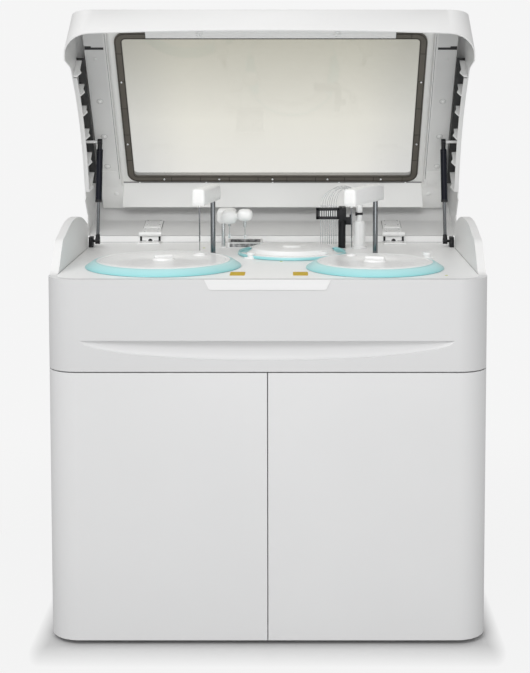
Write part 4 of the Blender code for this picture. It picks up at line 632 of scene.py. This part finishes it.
def make_floor():
    """A pale floor that fades into the backdrop, darker near the object, where its low colour is painted
    shadow over the real shadow.
    """
    shape = bmesh.new()
    bmesh.ops.create_grid(shape, x_segments=8, y_segments=8, size=6)
    floor = add_object("floor", mesh_of(shape, "floor"))
    floor.location.z = -0.0005
    material, tree, shader = new_material("pale_floor")
    # Painted shadow: a floor colour darker than the backdrop, shown near the object and blended into the
    # backdrop away from it.
    wire_all(tree, shader, Base_Color=(0.60, 0.60, 0.60, 1), Roughness=0.22, Specular_IOR_Level=0.35)
    place = add_node(tree, "TexCoord").outputs["Object"]
    away = add_math(tree, "LENGTH", place, kind="VectorMath")
    size = CAD_BOX[1] - CAD_BOX[0]
    beside = add_math(tree, "ABSOLUTE", place, kind="VectorMath", result="Vector")
    for operation, value in (
        ("SUBTRACT", (size.x / 2, size.y / 2, 0)), ("MAXIMUM", (0, 0, 0)), ("MULTIPLY", (3, 1, 1)),
    ):
        beside = add_math(tree, operation, beside, value, kind="VectorMath", result="Vector")
    beside = add_math(tree, "LENGTH", beside, kind="VectorMath")
    camera_ray = add_node(tree, "LightPath").outputs["Is Camera Ray"]
    amount = add_math(tree, "MULTIPLY", camera_ray, remap(tree, beside, 0.0, 0.13, 0.0, 0.96))
    pale = add_node(tree, "Emission", Color=BACKDROP)
    clear = add_node(tree, "BsdfTransparent")
    lifted = mix_shaders(tree, amount, shader.outputs["BSDF"], pale.outputs["Emission"])
    fade = remap(tree, away, 0.75, 1.9, smooth=True)
    ground = mix_shaders(tree, fade, lifted, clear.outputs["BSDF"])
    wire_all(tree, tree.nodes["Material Output"], Surface=ground)
    floor.data.materials.append(material)


def make_world():
    """An even studio dome, shown as pale grey to the camera and through glass."""
    world = bpy.data.worlds.new("studio")
    bpy.context.scene.world = world
    world.use_nodes = True
    tree = world.node_tree
    lit = wire_all(tree, tree.nodes["Background"], Color=(1.0, 1.0, 1.0, 1), Strength=0.60)
    seen = add_node(tree, "Background", Color=BACKDROP)
    path = add_node(tree, "LightPath")
    either = add_math(tree, "MAXIMUM", path.outputs["Is Camera Ray"], path.outputs["Is Transmission Ray"])
    dome = mix_shaders(tree, either, lit.outputs["Background"], seen.outputs["Background"])
    wire_all(tree, tree.nodes["World Output"], Surface=dome)


def make_lamp(name, place, target, size, power):
    light = bpy.data.lights.new(name, "AREA")
    light.shape = "RECTANGLE"
    light.size, light.size_y = size
    light.energy = power
    lamp = add_object(name, light)
    lamp.location = place
    lamp.visible_camera = False
    lamp.visible_transmission = False
    lamp.rotation_euler = (Vector(target) - Vector(place)).to_track_quat("-Z", "Y").to_euler()


def make_studio():
    bpy.context.scene.view_settings.view_transform = "Standard"
    make_camera()
    make_floor()
    make_world()
    make_lamp("key_light", (-1.9, -2.9, 4.3), (0, 0, 0.9), (2.6, 2.0), 69)
    make_lamp("fill_light", (0.6, -3.8, 1.0), (0, 0, 0.8), (2.4, 1.6), 26)
    make_lamp("deck_light", (0, -2.0, 2.5), (0, 0.35, 0.95), (1.6, 1.0), 10.5)


# Disk covers


def make_cover(name, station, needle, lip, grip_turn):
    """A disk cover: teal rim, white top with its step and needle hole, and a moulded grip."""
    x, y, radius = station
    centre = (x, y, 0)
    low, high = DECK + 0.0003, DECK + COVER_HEIGHT
    flat = radius - 0.027
    rim = [
        (radius - 0.0045, low), (radius - 0.0012, low), (radius, low + 0.0010),
        (radius - 0.0006, low + 0.0022), (radius - 0.009, low + 0.0075), (flat + 0.008, high - 0.0035),
        (flat + 0.001, high - 0.0008), (flat - 0.0015, high - 0.0012), (flat - 0.0015, high - 0.003),
        (radius - 0.0045, low),
    ]
    body = f"{name}_cover"
    pieces = [piece(f"{name}_cover_rim", turned_shape(rim, centre, 128), "teal", body, smooth_angle=50)]
    top = [
        (0, high + 0.0045), (0.022, high + 0.0045), (0.026, high + 0.0035), (0.029, high - 0.0012),
        (0.031, high - 0.0012), (0.034, high), (flat - 0.014, high), (flat - 0.013, high - 0.0008),
        (flat - 0.011, high - 0.0008), (flat - 0.010, high), (flat - 0.003, high),
        (flat - 0.0018, high - 0.0008), (flat - 0.0018, high - 0.004), (0, high - 0.004),
    ]
    disc = piece(
        f"{name}_cover_top", turned_shape(top, centre, 128), "bright", body, smooth_angle=30,
    )
    hole = rod_shape((*needle, DECK), (*needle, high + 0.01), 0.008, 32)
    pieces.append(cut_shapes(disc, hole, "needle_hole"))
    ring = [
        (0.0082, high - 0.002), (0.0082, high + 0.0004), (lip - 0.005, high + 0.0006),
        (lip - 0.004, high + 0.0030), (lip - 0.0015, high + 0.0032), (lip, high - 0.002),
        (0.0082, high - 0.002),
    ]
    grip = box_shape((-0.026, -0.0055, high + 0.002), (0.026, 0.0055, high + 0.012), 0.0048, 4)
    for vert in grip.verts:
        vert.co.y *= 0.75 + 0.9 * (abs(vert.co.x) / 0.026) ** 2
    grip.transform(Matrix.Translation(centre) @ Matrix.Rotation(grip_turn, 4, "Z"))
    pieces.append(piece(
        f"{name}_cover_grip", merged(turned_shape(ring, (*needle, 0), 40), grip), "bright", body,
    ))
    for obj in pieces:
        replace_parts(obj, f"{name}_cover")


def make_reaction_cover():
    """The fixed cover of the reaction disk: white cap over a teal ring that shows in two windows."""
    x, y, radius = REACTION
    centre = (x, y, 0)
    rim, high, cap = DECK + 0.009, DECK + 0.020, 0.112
    ring = [
        (radius - 0.050, DECK + 0.0022), (radius - 0.050, DECK + 0.0008), (radius - 0.0005, DECK + 0.0008),
        (radius, DECK + 0.0016), (radius - 0.0024, rim - 0.0008), (radius - 0.0046, rim - 0.0008),
        (radius - 0.0075, DECK + 0.0024), (radius - 0.050, DECK + 0.0022),
    ]
    teal = piece("reaction_ring", turned_shape(ring, centre, 128), "teal", "cabinet", smooth_angle=50)
    profile = [
        (0, high + 0.004), (0.021, high + 0.004), (0.024, high + 0.003), (0.027, high), (0.034, high),
        (0.035, high - 0.0007), (0.037, high - 0.0007), (0.038, high), (cap - 0.012, high),
        (cap - 0.004, high - 0.001), (cap + 0.001, rim + 0.002), (cap + 0.003, rim), (radius - 0.005, rim),
        (radius - 0.0042, rim - 0.0006), (radius - 0.0048, rim - 0.003), (cap + 0.002, rim - 0.003),
        (cap - 0.006, high - 0.005), (0, high - 0.005),
    ]
    white = piece(
        "reaction_cap", turned_shape(profile, centre, 128), "bright", "cabinet", smooth_angle=30,
    )
    tools = []
    for turn in (172, 8):
        tool = box_shape((cap + 0.0025, -0.064, DECK - 0.01), (radius + 0.03, 0.064, high + 0.02), 0.004)
        tool.transform(Matrix.Translation(centre) @ Matrix.Rotation(math.radians(turn), 4, "Z"))
        tools.append(tool)
    cut_shapes(white, merged(*tools), "cap_windows")
    for obj in (teal, white):
        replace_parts(obj, "reaction_cover")


def make_arm(name, mast, needle, tip_z):
    """A probe arm with a crowned cap, a drip collar and its needle."""
    mast, needle = Vector((*mast, 0)), Vector((*needle, 0))
    along = needle - mast
    reach, low = along.length, DECK + 0.150
    turn = Matrix.Translation(mast) @ along.to_track_quat("X", "Z").to_matrix().to_4x4()
    cap = box_shape((-0.024, -0.0185, low), (reach + 0.017, 0.0185, low + 0.043), 0.0085, 5)
    for vert in cap.verts:
        if vert.co.z > low + 0.03:
            vert.co.y *= 0.94
    foot = box_shape((-0.0215, -0.0165, low - 0.0002), (reach + 0.0145, 0.0165, low + 0.003), 0.0012)
    collar = turned_shape([
        (0, low - 0.006), (0.0032, low - 0.006), (0.004, low - 0.005), (0.004, low + 0.003), (0, low + 0.003),
    ], (reach, 0, 0), 20)
    shape = merged(cap, foot, collar)
    shape.transform(turn)
    arm = piece(f"{name}_housing", shape, "bright", name)
    tip = [
        (0, tip_z), (0.0006, tip_z), (0.0009, tip_z + 0.004), (0.0009, tip_z + 0.024),
        (0.0016, tip_z + 0.027), (0.0016, low + 0.002), (0, low + 0.002),
    ]
    point = piece(f"{name}_needle", turned_shape(tip, needle, 16), "mast", name)
    for obj in (arm, point):
        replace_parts(obj, name)


def make_mixer_head():
    """Two rounded stirrer housings joined by a bridge, with a collar over each paddle."""
    lobes = []
    collars = []
    for x, y, low, high in ((-0.116, 0.550, 0.979, 1.018), (-0.072, 0.530, 0.989, 1.0225)):
        lobes.append(box_shape((x - 0.0215, y - 0.0215, low), (x + 0.0215, y + 0.0215, high), 0.0150, 6))
        collars.append(rod_shape((x, y, 0.9725), (x, y, low + 0.004), 0.0040, 20, 0.0052))
    lobes.append(box_shape((-0.1535, 0.574, 0.975), (-0.0985, 0.6278, 1.018), 0.0130, 5))
    lobes.append(box_shape((-0.113, 0.530, 0.993), (-0.075, 0.552, 1.010), 0.006, 4))
    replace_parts(piece("mixer_collars", merged(*collars), "steel", "mixer_head"), "mixer_head")
    head = piece("mixer_housing", merged(*lobes), "bright", "mixer_head")
    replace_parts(head, "mixer_head")


def probe_x(index):
    """Across place of a probe of the wash comb, numbered from 0 at its left end."""
    return 0.139 + index * 0.043 / 7


def make_wash_head():
    """Slotted black comb, arm and rod, with steel probes."""
    low, high = 0.9915, 1.023
    bars = [
        box_shape((0.126, 0.548, low), (0.195, 0.566, low + 0.008), 0.0008),
        box_shape((0.126, 0.548, high - 0.007), (0.195, 0.566, high), 0.0008),
        box_shape((0.126, 0.548, low), (0.134, 0.566, high), 0.0008),
        box_shape((0.186, 0.548, low), (0.204, 0.566, high), 0.0008),
        box_shape((0.191, 0.560, 0.9860), (0.2105, 0.612, high), 0.0012),
        box_shape((0.190, 0.5435, low - 0.004), (0.199, 0.549, high + 0.003), 0.0012),
        box_shape((0.2095, 0.592, 0.9715), (0.2257, 0.606, 0.9925), 0.0012),
        box_shape((0.2215, 0.594, 0.9915), (0.2257, 0.604, 1.0), 0.0008),
        rod_shape((0.200, 0.600, 0.790), (0.200, 0.600, 0.988), 0.006, 20),
        dome_shape((0.1945, 0.5437, low + 0.012), 0.003, 0.0015, (0, -1, 0)),
    ]
    for index in range(PROBES + 1):
        x = probe_x(index - 0.5)
        bars.append(box_shape((x - 0.0008, 0.549, low + 0.004), (x + 0.0008, 0.565, high - 0.004)))
    comb = piece("wash_comb", merged(*bars), "black", "wash_head")
    probes, sleeves = [], []
    for index in range(PROBES):
        x = probe_x(index)
        probes.append(rod_shape((x, PROBE_Y, 0.9206), (x, PROBE_Y, 1.034), 0.0011, 12))
        probes.append(rod_shape((x, PROBE_Y, 1.024), (x, PROBE_Y, 1.030), 0.0019, 12))
        sleeves.append(rod_shape((x, 0.551, low + 0.007), (x, 0.551, high - 0.006), 0.0017, 12))
    steel = piece("wash_probes", merged(*probes), "steel", "wash_head")
    white = piece("wash_sleeves", merged(*sleeves), "bright", "wash_head")
    for obj in (comb, steel, white):
        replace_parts(obj, "wash_head")


def make_struts():
    """Ball sockets, seals and end caps on both gas struts."""
    half_eye = Vector((0.0062, 0, 0))
    seal, cap = STRUT_LENGTH - 0.174, STRUT_LENGTH - 0.030
    for side, sign in (("left", -1), ("right", 1)):
        low = Vector((sign * STRUT_X, 0.620, DECK + 0.017))
        top = low + STRUT_AXIS * STRUT_LENGTH

        def sleeve(start, end, radius, sides, end_radius=None):
            return rod_shape(low + STRUT_AXIS * start, low + STRUT_AXIS * end, radius, sides, end_radius)

        foot = merged(
            rod_shape(low - half_eye, low + half_eye, 0.0088, 28),
            sleeve(0.004, 0.016, 0.0072, 24, 0.0058),
            sleeve(0.016, 0.0185, 0.0064, 24, 0.0052),
        )
        piece(f"strut_foot_{side}", foot, "black", f"strut_rod_{side}")
        head = merged(
            sleeve(seal - 0.0012, seal + 0.005, 0.0097, 32),
            sleeve(cap, cap + 0.010, 0.0095, 32, 0.0068),
            sleeve(cap + 0.009, cap + 0.026, 0.0066, 24),
            rod_shape(top - half_eye, top + half_eye, 0.0088, 28),
        )
        piece(f"strut_head_{side}", head, "black", f"strut_cylinder_{side}")


def make_gasket_detail():
    """Seams across the window seal, its two lips and the screws that hold it."""
    low, high = SEAL_FACE, SEAL_FACE + 0.002
    seams = []
    for index in range(-4, 5):
        x = index * 0.0865 + 0.043
        if abs(x) < 0.40:
            seams.append(box_shape((x - 0.0009, 0.5125, low), (x + 0.0009, 0.5318, high)))
            seams.append(box_shape((x - 0.0009, -0.0158, low), (x + 0.0009, 0.0035, high)))
    for index in range(5):
        s = 0.055 + index * 0.098
        for sign in (-1, 1):
            seams.append(side_box(sign, 0.4145, 0.4338, (s - 0.0009, low), (s + 0.0009, high)))
    piece("seal_seams", merged(*seams), "gasket_dark", "hood", PANE)

    def outline(inset, radius):
        return round_rectangle(
            -SEAL_HALF + inset, SEAL_LOW + inset, SEAL_HALF - inset, SEAL_HIGH - inset, radius
        )

    lips = [
        frame_shape(outline(inset, outer), outline(inset + 0.0016, inner), low - 0.0008, high)
        for inset, outer, inner in ((0.0025, 0.0295, 0.0279), (0.0185, 0.0135, 0.0119))
    ]
    piece("seal_lips", merged(*lips), "gasket_dark", "hood", PANE)
    screws = [(x, 0.5225) for x in (-0.325, -0.16, 0.0, 0.165, 0.325)]
    screws += [(sign * 0.4245, s) for sign in (-1, 1) for s in (0.155, 0.385)]
    heads = [dome_shape((x, s, low + 0.0006), 0.0036, 0.0026, (0, 0, -1), 20) for x, s in screws]
    piece("seal_screws", merged(*heads), "chrome", "hood", PANE)


def make_liner_detail():
    """Bosses, screws and plates of the liner's side rails, painted shadow across their front ends and painted
    shade round the bosses, its screwed strip and its seams.
    """
    inward = (0, 0, -1)
    bosses, screws, seams, painted_rail_shadows, plates = [], [], [], [], []
    for sign in (-1, 1):
        x, foot_x = sign * RAIL_X, sign * 0.470
        bosses.append(dome_shape((x, 0.055, RAIL_FACE), 0.0050, 0.0016, inward, 24))
        for s in (0.205, 0.335, 0.450):
            bosses.append(dome_shape((x, s, RAIL_FACE), 0.0085, 0.0022, inward, 28))
            screws.append(dome_shape((x, s, RAIL_FACE - 0.0018), 0.0035, 0.0016, inward, 20))
            # Painted shade: a dark ring round each boss's foot.
            seams.append(dome_shape((x, s, RAIL_FACE + 0.0004), 0.0098, 0.0012, inward, 28))
        bosses.append(side_box(sign, 0.4490, 0.5140, (0.5300, RAIL_FACE), (0.6180, -0.0080), 0.0015))
        bosses.append(dome_shape((foot_x, 0.560, RAIL_FACE), 0.0075, 0.0020, inward, 28))
        screws.append(dome_shape((foot_x, 0.560, RAIL_FACE - 0.0016), 0.0034, 0.0016, inward, 20))
        seams.append(side_box(sign, 0.4540, 0.4556, (-0.030, -0.0306), (0.500, -0.0296)))
        # Painted shadow: dark bars across the rail's front end.
        painted_rail_shadows.append(side_box(sign, 0.4610, 0.5132, (0.0150, -0.0308), (0.0225, -0.0296)))
        painted_rail_shadows.append(side_box(sign, 0.4950, 0.5132, (0.0110, -0.0308), (0.0225, -0.0296)))
        plates.append(side_box(sign, 0.462, 0.508, (0.470, -0.0312), (0.528, -0.0298), 0.0005))
        for across in (0.469, 0.501):
            for s in (0.478, 0.520):
                plates.append(dome_shape((sign * across, s, -0.0310), 0.0022, 0.0010, inward, 16))
    piece("rail_bosses", merged(*bosses), "liner", "hood", PANE)
    strip = box_shape((-0.4485, 0.537, -0.0022), (0.4485, 0.5408, 0.0010), 0.0006)
    piece("liner_strip", strip, "seam_and_shade", "hood", PANE)
    for x in (-0.40, -0.20, 0.0, 0.20, 0.40):
        screws.append(dome_shape((x, 0.5385, -0.0022), 0.0028, 0.0012, inward, 18))
    piece("liner_screws", merged(*screws), "bright", "hood", PANE)
    piece("liner_seams_and_painted_shade", merged(*seams), "seam_and_shade", "hood", PANE)
    piece("rail_painted_shadows", merged(*painted_rail_shadows), "shadow", "hood", PANE)
    piece("rail_plates", merged(*plates), "liner", "hood", PANE)


def cheek_height(y):
    """Height of the cheek's top at a depth: an arc, then a straight fall to its rear end."""
    bend_y, bend_z = CHEEK_BEND
    end_y, end_z = CHEEK_END
    if y > bend_y:
        return bend_z + (end_z - bend_z) * (y - bend_y) / (end_y - bend_y)
    centre_y, centre_z = CHEEK_CENTRE
    return centre_z + math.sqrt(CHEEK_RADIUS ** 2 - (y - centre_y) ** 2)


def make_hood_ribs():
    """Ribs, a dark sheet of painted shadow above them and an inner flange along the side walls of the hood.
    """
    for side, sign in (("left", -1), ("right", 1)):
        ribs = []
        for y in (0.205, 0.284, 0.359, 0.440, 0.525, 0.600):
            low = cheek_height(y) + 0.0072
            outline = [
                (0.5368, low), (0.5262, low + 0.001), (0.5172, low + 0.018), (0.5225, low + 0.030),
                (0.5225, 1.066), (0.5368, 1.066),
            ]
            rib = bmesh.new()
            near, far = (
                [rib.verts.new((sign * x, y + offset, z)) for x, z in outline] for offset in (-0.0020, 0.0020)
            )
            rib.faces.new(near)
            rib.faces.new(list(reversed(far)))
            bridge(rib, [near, far])
            ribs.append(rib)
        piece(f"hood_ribs_{side}", merged(*ribs), "bright", "hood", HOOD)
        # Painted shadow: a dark sheet where the side wall falls in shade behind the ribs.
        painted_shadow_sheet = side_box(sign, 0.5150, 0.5367, (0.196, 1.0662), (0.640, 1.0682))
        piece(f"hood_painted_shadow_{side}", painted_shadow_sheet, "shadow", "hood", HOOD)
        flange = bmesh.new()
        rows = []
        for step in range(25):
            y = 0.212 + step * (0.600 - 0.212) / 24
            z = cheek_height(y) + 0.0042
            rows.append([
                flange.verts.new((sign * x, y, z + up))
                for x, up in ((0.5372, 0), (0.5275, 0), (0.5275, 0.0024), (0.5372, 0.0024))
            ])
        bridge(flange, rows)
        flange.faces.new(rows[0])
        flange.faces.new(list(reversed(rows[-1])))
        piece(f"hood_flange_{side}", flange, "shell", "hood", HOOD)


def make_lamp_detail():
    """Channel, diffuser strip and two mounting knobs of the lamp bar."""
    strip = box_shape((-0.300, -0.0330, -0.0146), (0.300, -0.0120, -0.0132), 0.0005)
    piece("lamp_diffuser", strip, "bright", "hood", PANE)
    channel = box_shape((-0.345, -0.0345, -0.0135), (0.345, -0.0030, -0.0078), 0.0016)
    piece("lamp_channel", channel, "bright", "hood", PANE)
    knobs = []
    for x in (-0.196, 0.183):
        knobs.append(dome_shape((x, -0.0200, -0.0140), 0.0105, 0.0060, (0, 0, -1), 28))
        knobs.append(dome_shape((x + 0.004, -0.0200, -0.0195), 0.0042, 0.0030, (0, 0, -1), 20))
    piece("lamp_knobs", merged(*knobs), "bright", "hood", PANE)


def make_hinge_detail():
    """Dark slots and screws of the two hood hinges, and their plates on the hood's rear wall, each outlined
    in painted shadow.
    """
    front = 0.726 - 0.0003 - 0.004
    along = Vector((0, WALL_HIGH[0] - WALL_LOW[0], WALL_HIGH[1] - WALL_LOW[1])).normalized()
    inward = Vector((0, -along.z, along.y))
    for side, sign in (("left", -1), ("right", 1)):
        x = sign * HINGE_X
        foot = Vector((x, *WALL_LOW))
        wall = Matrix((
            (1, along.x, inward.x, foot.x), (0, along.y, inward.y, foot.y), (0, along.z, inward.z, foot.z),
            (0, 0, 0, 1),
        ))
        dark = [
            box_shape((x + left, front - 0.0007, DECK + low), (x + right, front + 0.0004, DECK + high))
            for left, right, low, high in (
                (-0.0300, -0.0240, 0.001, 0.0225), (0.0240, 0.0300, 0.001, 0.0225),
                (-0.0290, -0.011, 0.0008, 0.0050), (0.011, 0.0290, 0.0008, 0.0050),
            )
        ]
        dark.append(dome_shape((x, front - 0.0001, DECK + 0.0048), 0.0062, 0.0010, (0, -1, 0), 24))
        piece(f"hinge_slots_{side}", merged(*dark), "black", "cabinet")
        plate = merged(
            box_shape((-0.0265, 0.0515, 0.0034), (0.0265, 0.1290, 0.0072), 0.0012),
            box_shape((-0.0225, 0.0560, 0.0070), (0.0225, 0.0720, 0.0092), 0.0010),
        )
        plate.transform(wall)
        piece(f"hinge_plate_{side}", plate, "bright", "hood", HOOD)
        # Painted shadow: a dark outline just larger than the plate, beneath it.
        painted_shade_edge = box_shape((-0.0280, 0.0512, 0.0032), (0.0280, 0.1304, 0.0046), 0.0004)
        painted_shade_edge.transform(wall)
        piece(f"hinge_plate_painted_shadow_{side}", painted_shade_edge, "seam_and_shade", "hood", HOOD)
        heads = merged(*(
            dome_shape((dx, up, proud), 0.0032, 0.0014, (0, 0, 1), 20)
            for dx in (-0.019, 0.019)
            for up, proud in ((0.018, 0.0071), (0.041, 0.0071), (0.083, 0.0070), (0.121, 0.0070))
        ))
        heads.transform(wall)
        piece(f"hinge_screws_{side}", heads, "steel", "hood", HOOD)


def make_deck_detail():
    """Thumb screws, plain pads, seams and the lined wash well."""
    knobs = []
    for x, y in ((-0.051, 0.376), (0.145, 0.391), (0.420, 0.376)):
        knobs.append(turned_shape([
            (0, DECK + 0.0002), (0.013, DECK + 0.0002), (0.013, DECK + 0.003), (0.009, DECK + 0.0045),
            (0.0085, DECK + 0.008), (0.0105, DECK + 0.010), (0.0105, DECK + 0.0155), (0.009, DECK + 0.017),
            (0, DECK + 0.017),
        ], (x, y, 0), 32))
        low, high = (x - 0.018, y - 0.004, DECK + 0.0002), (x + 0.018, y + 0.004, DECK + 0.0035)
        knobs.append(box_shape(low, high, 0.0015))
    piece("deck_thumb_screws", merged(*knobs), "bright", "cabinet")
    pads = []
    for x in (-0.0757, 0.0802):
        outline = round_rectangle(x - 0.0186, 0.066, x + 0.0186, 0.124, 0.004)
        pads.append(plate_shape(outline, DECK + 0.0001, DECK + 0.0009))
    piece("deck_pads", merged(*pads), "amber", "cabinet")
    dots = [
        dome_shape((x, y, DECK + 0.0001), 0.0042, 0.0007, steps=20)
        for x, y in ((-0.1904, 0.5944), (0.030, 0.318), (0.439, 0.068))
    ]
    piece("deck_dots", merged(*dots), "lime", "cabinet")
    seams = []
    for sign in (-1, 1):
        seams.append(side_box(sign, 0.5188, 0.5198, (0.085, DECK - 0.0004), (0.595, DECK + 0.0004)))
    seams.append(box_shape((-0.515, 0.7242, DECK - 0.0004), (0.515, 0.7257, DECK + 0.0005)))
    piece("deck_seams", merged(*seams), "seam_and_shade", "cabinet")
    left, right, front, rear = WELL
    top = DECK + 0.015
    lining = merged(*(
        box_shape((left + inset, near, low), (right - inset, far, high), rounding)
        for inset, near, far, low, high, rounding in (
            (0.0062, front + 0.0062, rear - 0.0062, top - 0.0099, top - 0.0088, 0),
            (0.0062, rear - 0.0072, rear - 0.0061, top - 0.0090, top - 0.0004, 0),
            (0.006, front - 0.0008, front + 0.0004, DECK + 0.0020, top - 0.0030, 0),
            (0.002, front + 0.0012, front + 0.0052, top - 0.0002, top + 0.0005, 0.0002),
            (0.002, rear - 0.0052, rear - 0.0012, top - 0.0002, top + 0.0005, 0.0002),
        )
    ))
    piece("well_lining", lining, "mottled", "cabinet")


def arc_points(start, end, rise, count=22):
    """Points of a tube that leaves start upwards, arches over and comes down into end."""
    start, end = Vector(start), Vector(end)
    points = []
    for step in range(count + 1):
        t = step / count
        place = start.lerp(end, (1 - math.cos(math.pi * t)) / 2)
        place.z = start.z + (end.z - start.z) * t + rise * math.sin(math.pi * t)
        points.append(place)
    return points


def make_tubes():
    """Clear tubes from the probes of the wash comb over into the tube column."""
    for index in range(PROBES):
        start = Vector((probe_x(index), PROBE_Y, 1.030))
        end = Vector((0.2445 + 0.003 * (index % 4), 0.5925 + 0.005 * (index // 4), 1.018))
        points = [BODY @ point for point in arc_points(start, end, 0.052 + 0.0035 * (index % 3))]
        tube = tube_piece(f"wash_tube_{index}", points, 0.0008, "clear", "wash_head")


def make_column_detail():
    """Body, ribs and foot collar of the tube column, and the tubes' sleeve that slides in it."""
    x, y = COLUMN
    top = DECK + 0.078
    column = piece("column_body", turned_shape([
        (0.0096, DECK + 0.0003), (0.016, DECK + 0.0003), (0.016, top - 0.005), (0.0145, top - 0.0015),
        (0.011, top), (0.0100, top), (0.0096, top - 0.0006), (0.0096, DECK + 0.0003),
    ], (x, y, 0), 64), "bright", "cabinet")
    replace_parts(column, "tube_column")
    sleeve = turned_shape([
        (0.0072, 1.034), (0.0085, 1.034), (0.0090, 1.033), (0.0090, 1.012), (0.0082, 1.010), (0.0082, 0.930),
        (0.0072, 0.930), (0.0072, 1.034),
    ], (x, y, 0), 40)
    piece("tube_sleeve", sleeve, "bright", "wash_head")
    band = [(0.0092, 1.000), (0.0100, 1.000), (0.0100, 1.006), (0.0092, 1.006), (0.0092, 1.000)]
    clips = merged(
        turned_shape(band, (x, y, 0), 32),
        box_shape((x - 0.0125, y - 0.0125, 0.998), (x - 0.0065, y - 0.0075, 1.008), 0.0008),
    )
    piece("tube_clip", clips, "black", "wash_head")
    strips = []
    for turn in (-120, -90, -60, 180, 0, 90):
        angle = math.radians(turn)
        px, py = x + 0.0158 * math.cos(angle), y + 0.0158 * math.sin(angle)
        strips.append(rod_shape((px, py, DECK + 0.004), (px, py, DECK + 0.068), 0.0013, 10))
    strips.append(turned_shape([
        (0.0162, DECK + 0.0004), (0.0215, DECK + 0.0004), (0.0215, DECK + 0.003), (0.0162, DECK + 0.005),
        (0.0162, DECK + 0.0004),
    ], (x, y, 0), 48))
    piece("column_ribs", merged(*strips), "bright", "cabinet")


def make_rear_detail():
    """Screws round the rear panel and contact pins in the inlet."""
    screws = [
        dome_shape((x, REAR_FACE, z), 0.0045, 0.0022, (0, 1, 0), 20)
        for x in (-0.50, -0.25, 0.0, 0.25, 0.50) for z in (0.03, 0.45, 0.885)
        if z != 0.45 or abs(x) == 0.50
    ]
    piece("rear_screws", merged(*screws), "steel", "cabinet")
    pins = [
        box_shape((x - 0.001, REAR_FACE - 0.0175, z - 0.002), (x + 0.001, REAR_FACE - 0.003, z + 0.002))
        for x, z in ((-0.347, 0.1262), (-0.340, 0.1228), (-0.333, 0.1262))
    ]
    piece("inlet_pins", merged(*pins), "steel", "cabinet")


def make_collars():
    """A guide collar in the deck round each lifting column."""
    rings = []
    for x, y, bore, wide in (
        (*SAMPLE_MAST, 0.0074, 0.0135), (*REAGENT_MAST, 0.0074, 0.0135), (*MIXER_COLUMN, 0.0060, 0.011),
    ):
        rings.append(turned_shape([
            (bore, DECK + 0.0002), (wide, DECK + 0.0002), (wide, DECK + 0.0018),
            (wide - 0.002, DECK + 0.0034), (bore, DECK + 0.0034), (bore, DECK + 0.0002),
        ], (x, y, 0), 48))
    piece("column_collars", merged(*rings), "bright", "cabinet")


dress_nodes()
make_studio()
make_cover("sample", SAMPLE, SAMPLE_NEEDLE, 0.018, 0.5)
make_cover("reagent", REAGENT, REAGENT_NEEDLE, 0.014, -0.3)
make_reaction_cover()
make_arm("sample_arm", SAMPLE_MAST, SAMPLE_NEEDLE, DECK + 0.029)
make_arm("reagent_arm", REAGENT_MAST, REAGENT_NEEDLE, DECK + 0.039)
make_mixer_head()
make_wash_head()
make_struts()
make_gasket_detail()
make_liner_detail()
make_hood_ribs()
make_lamp_detail()
make_hinge_detail()
make_deck_detail()
make_tubes()
make_column_detail()
make_collars()
make_rear_detail()
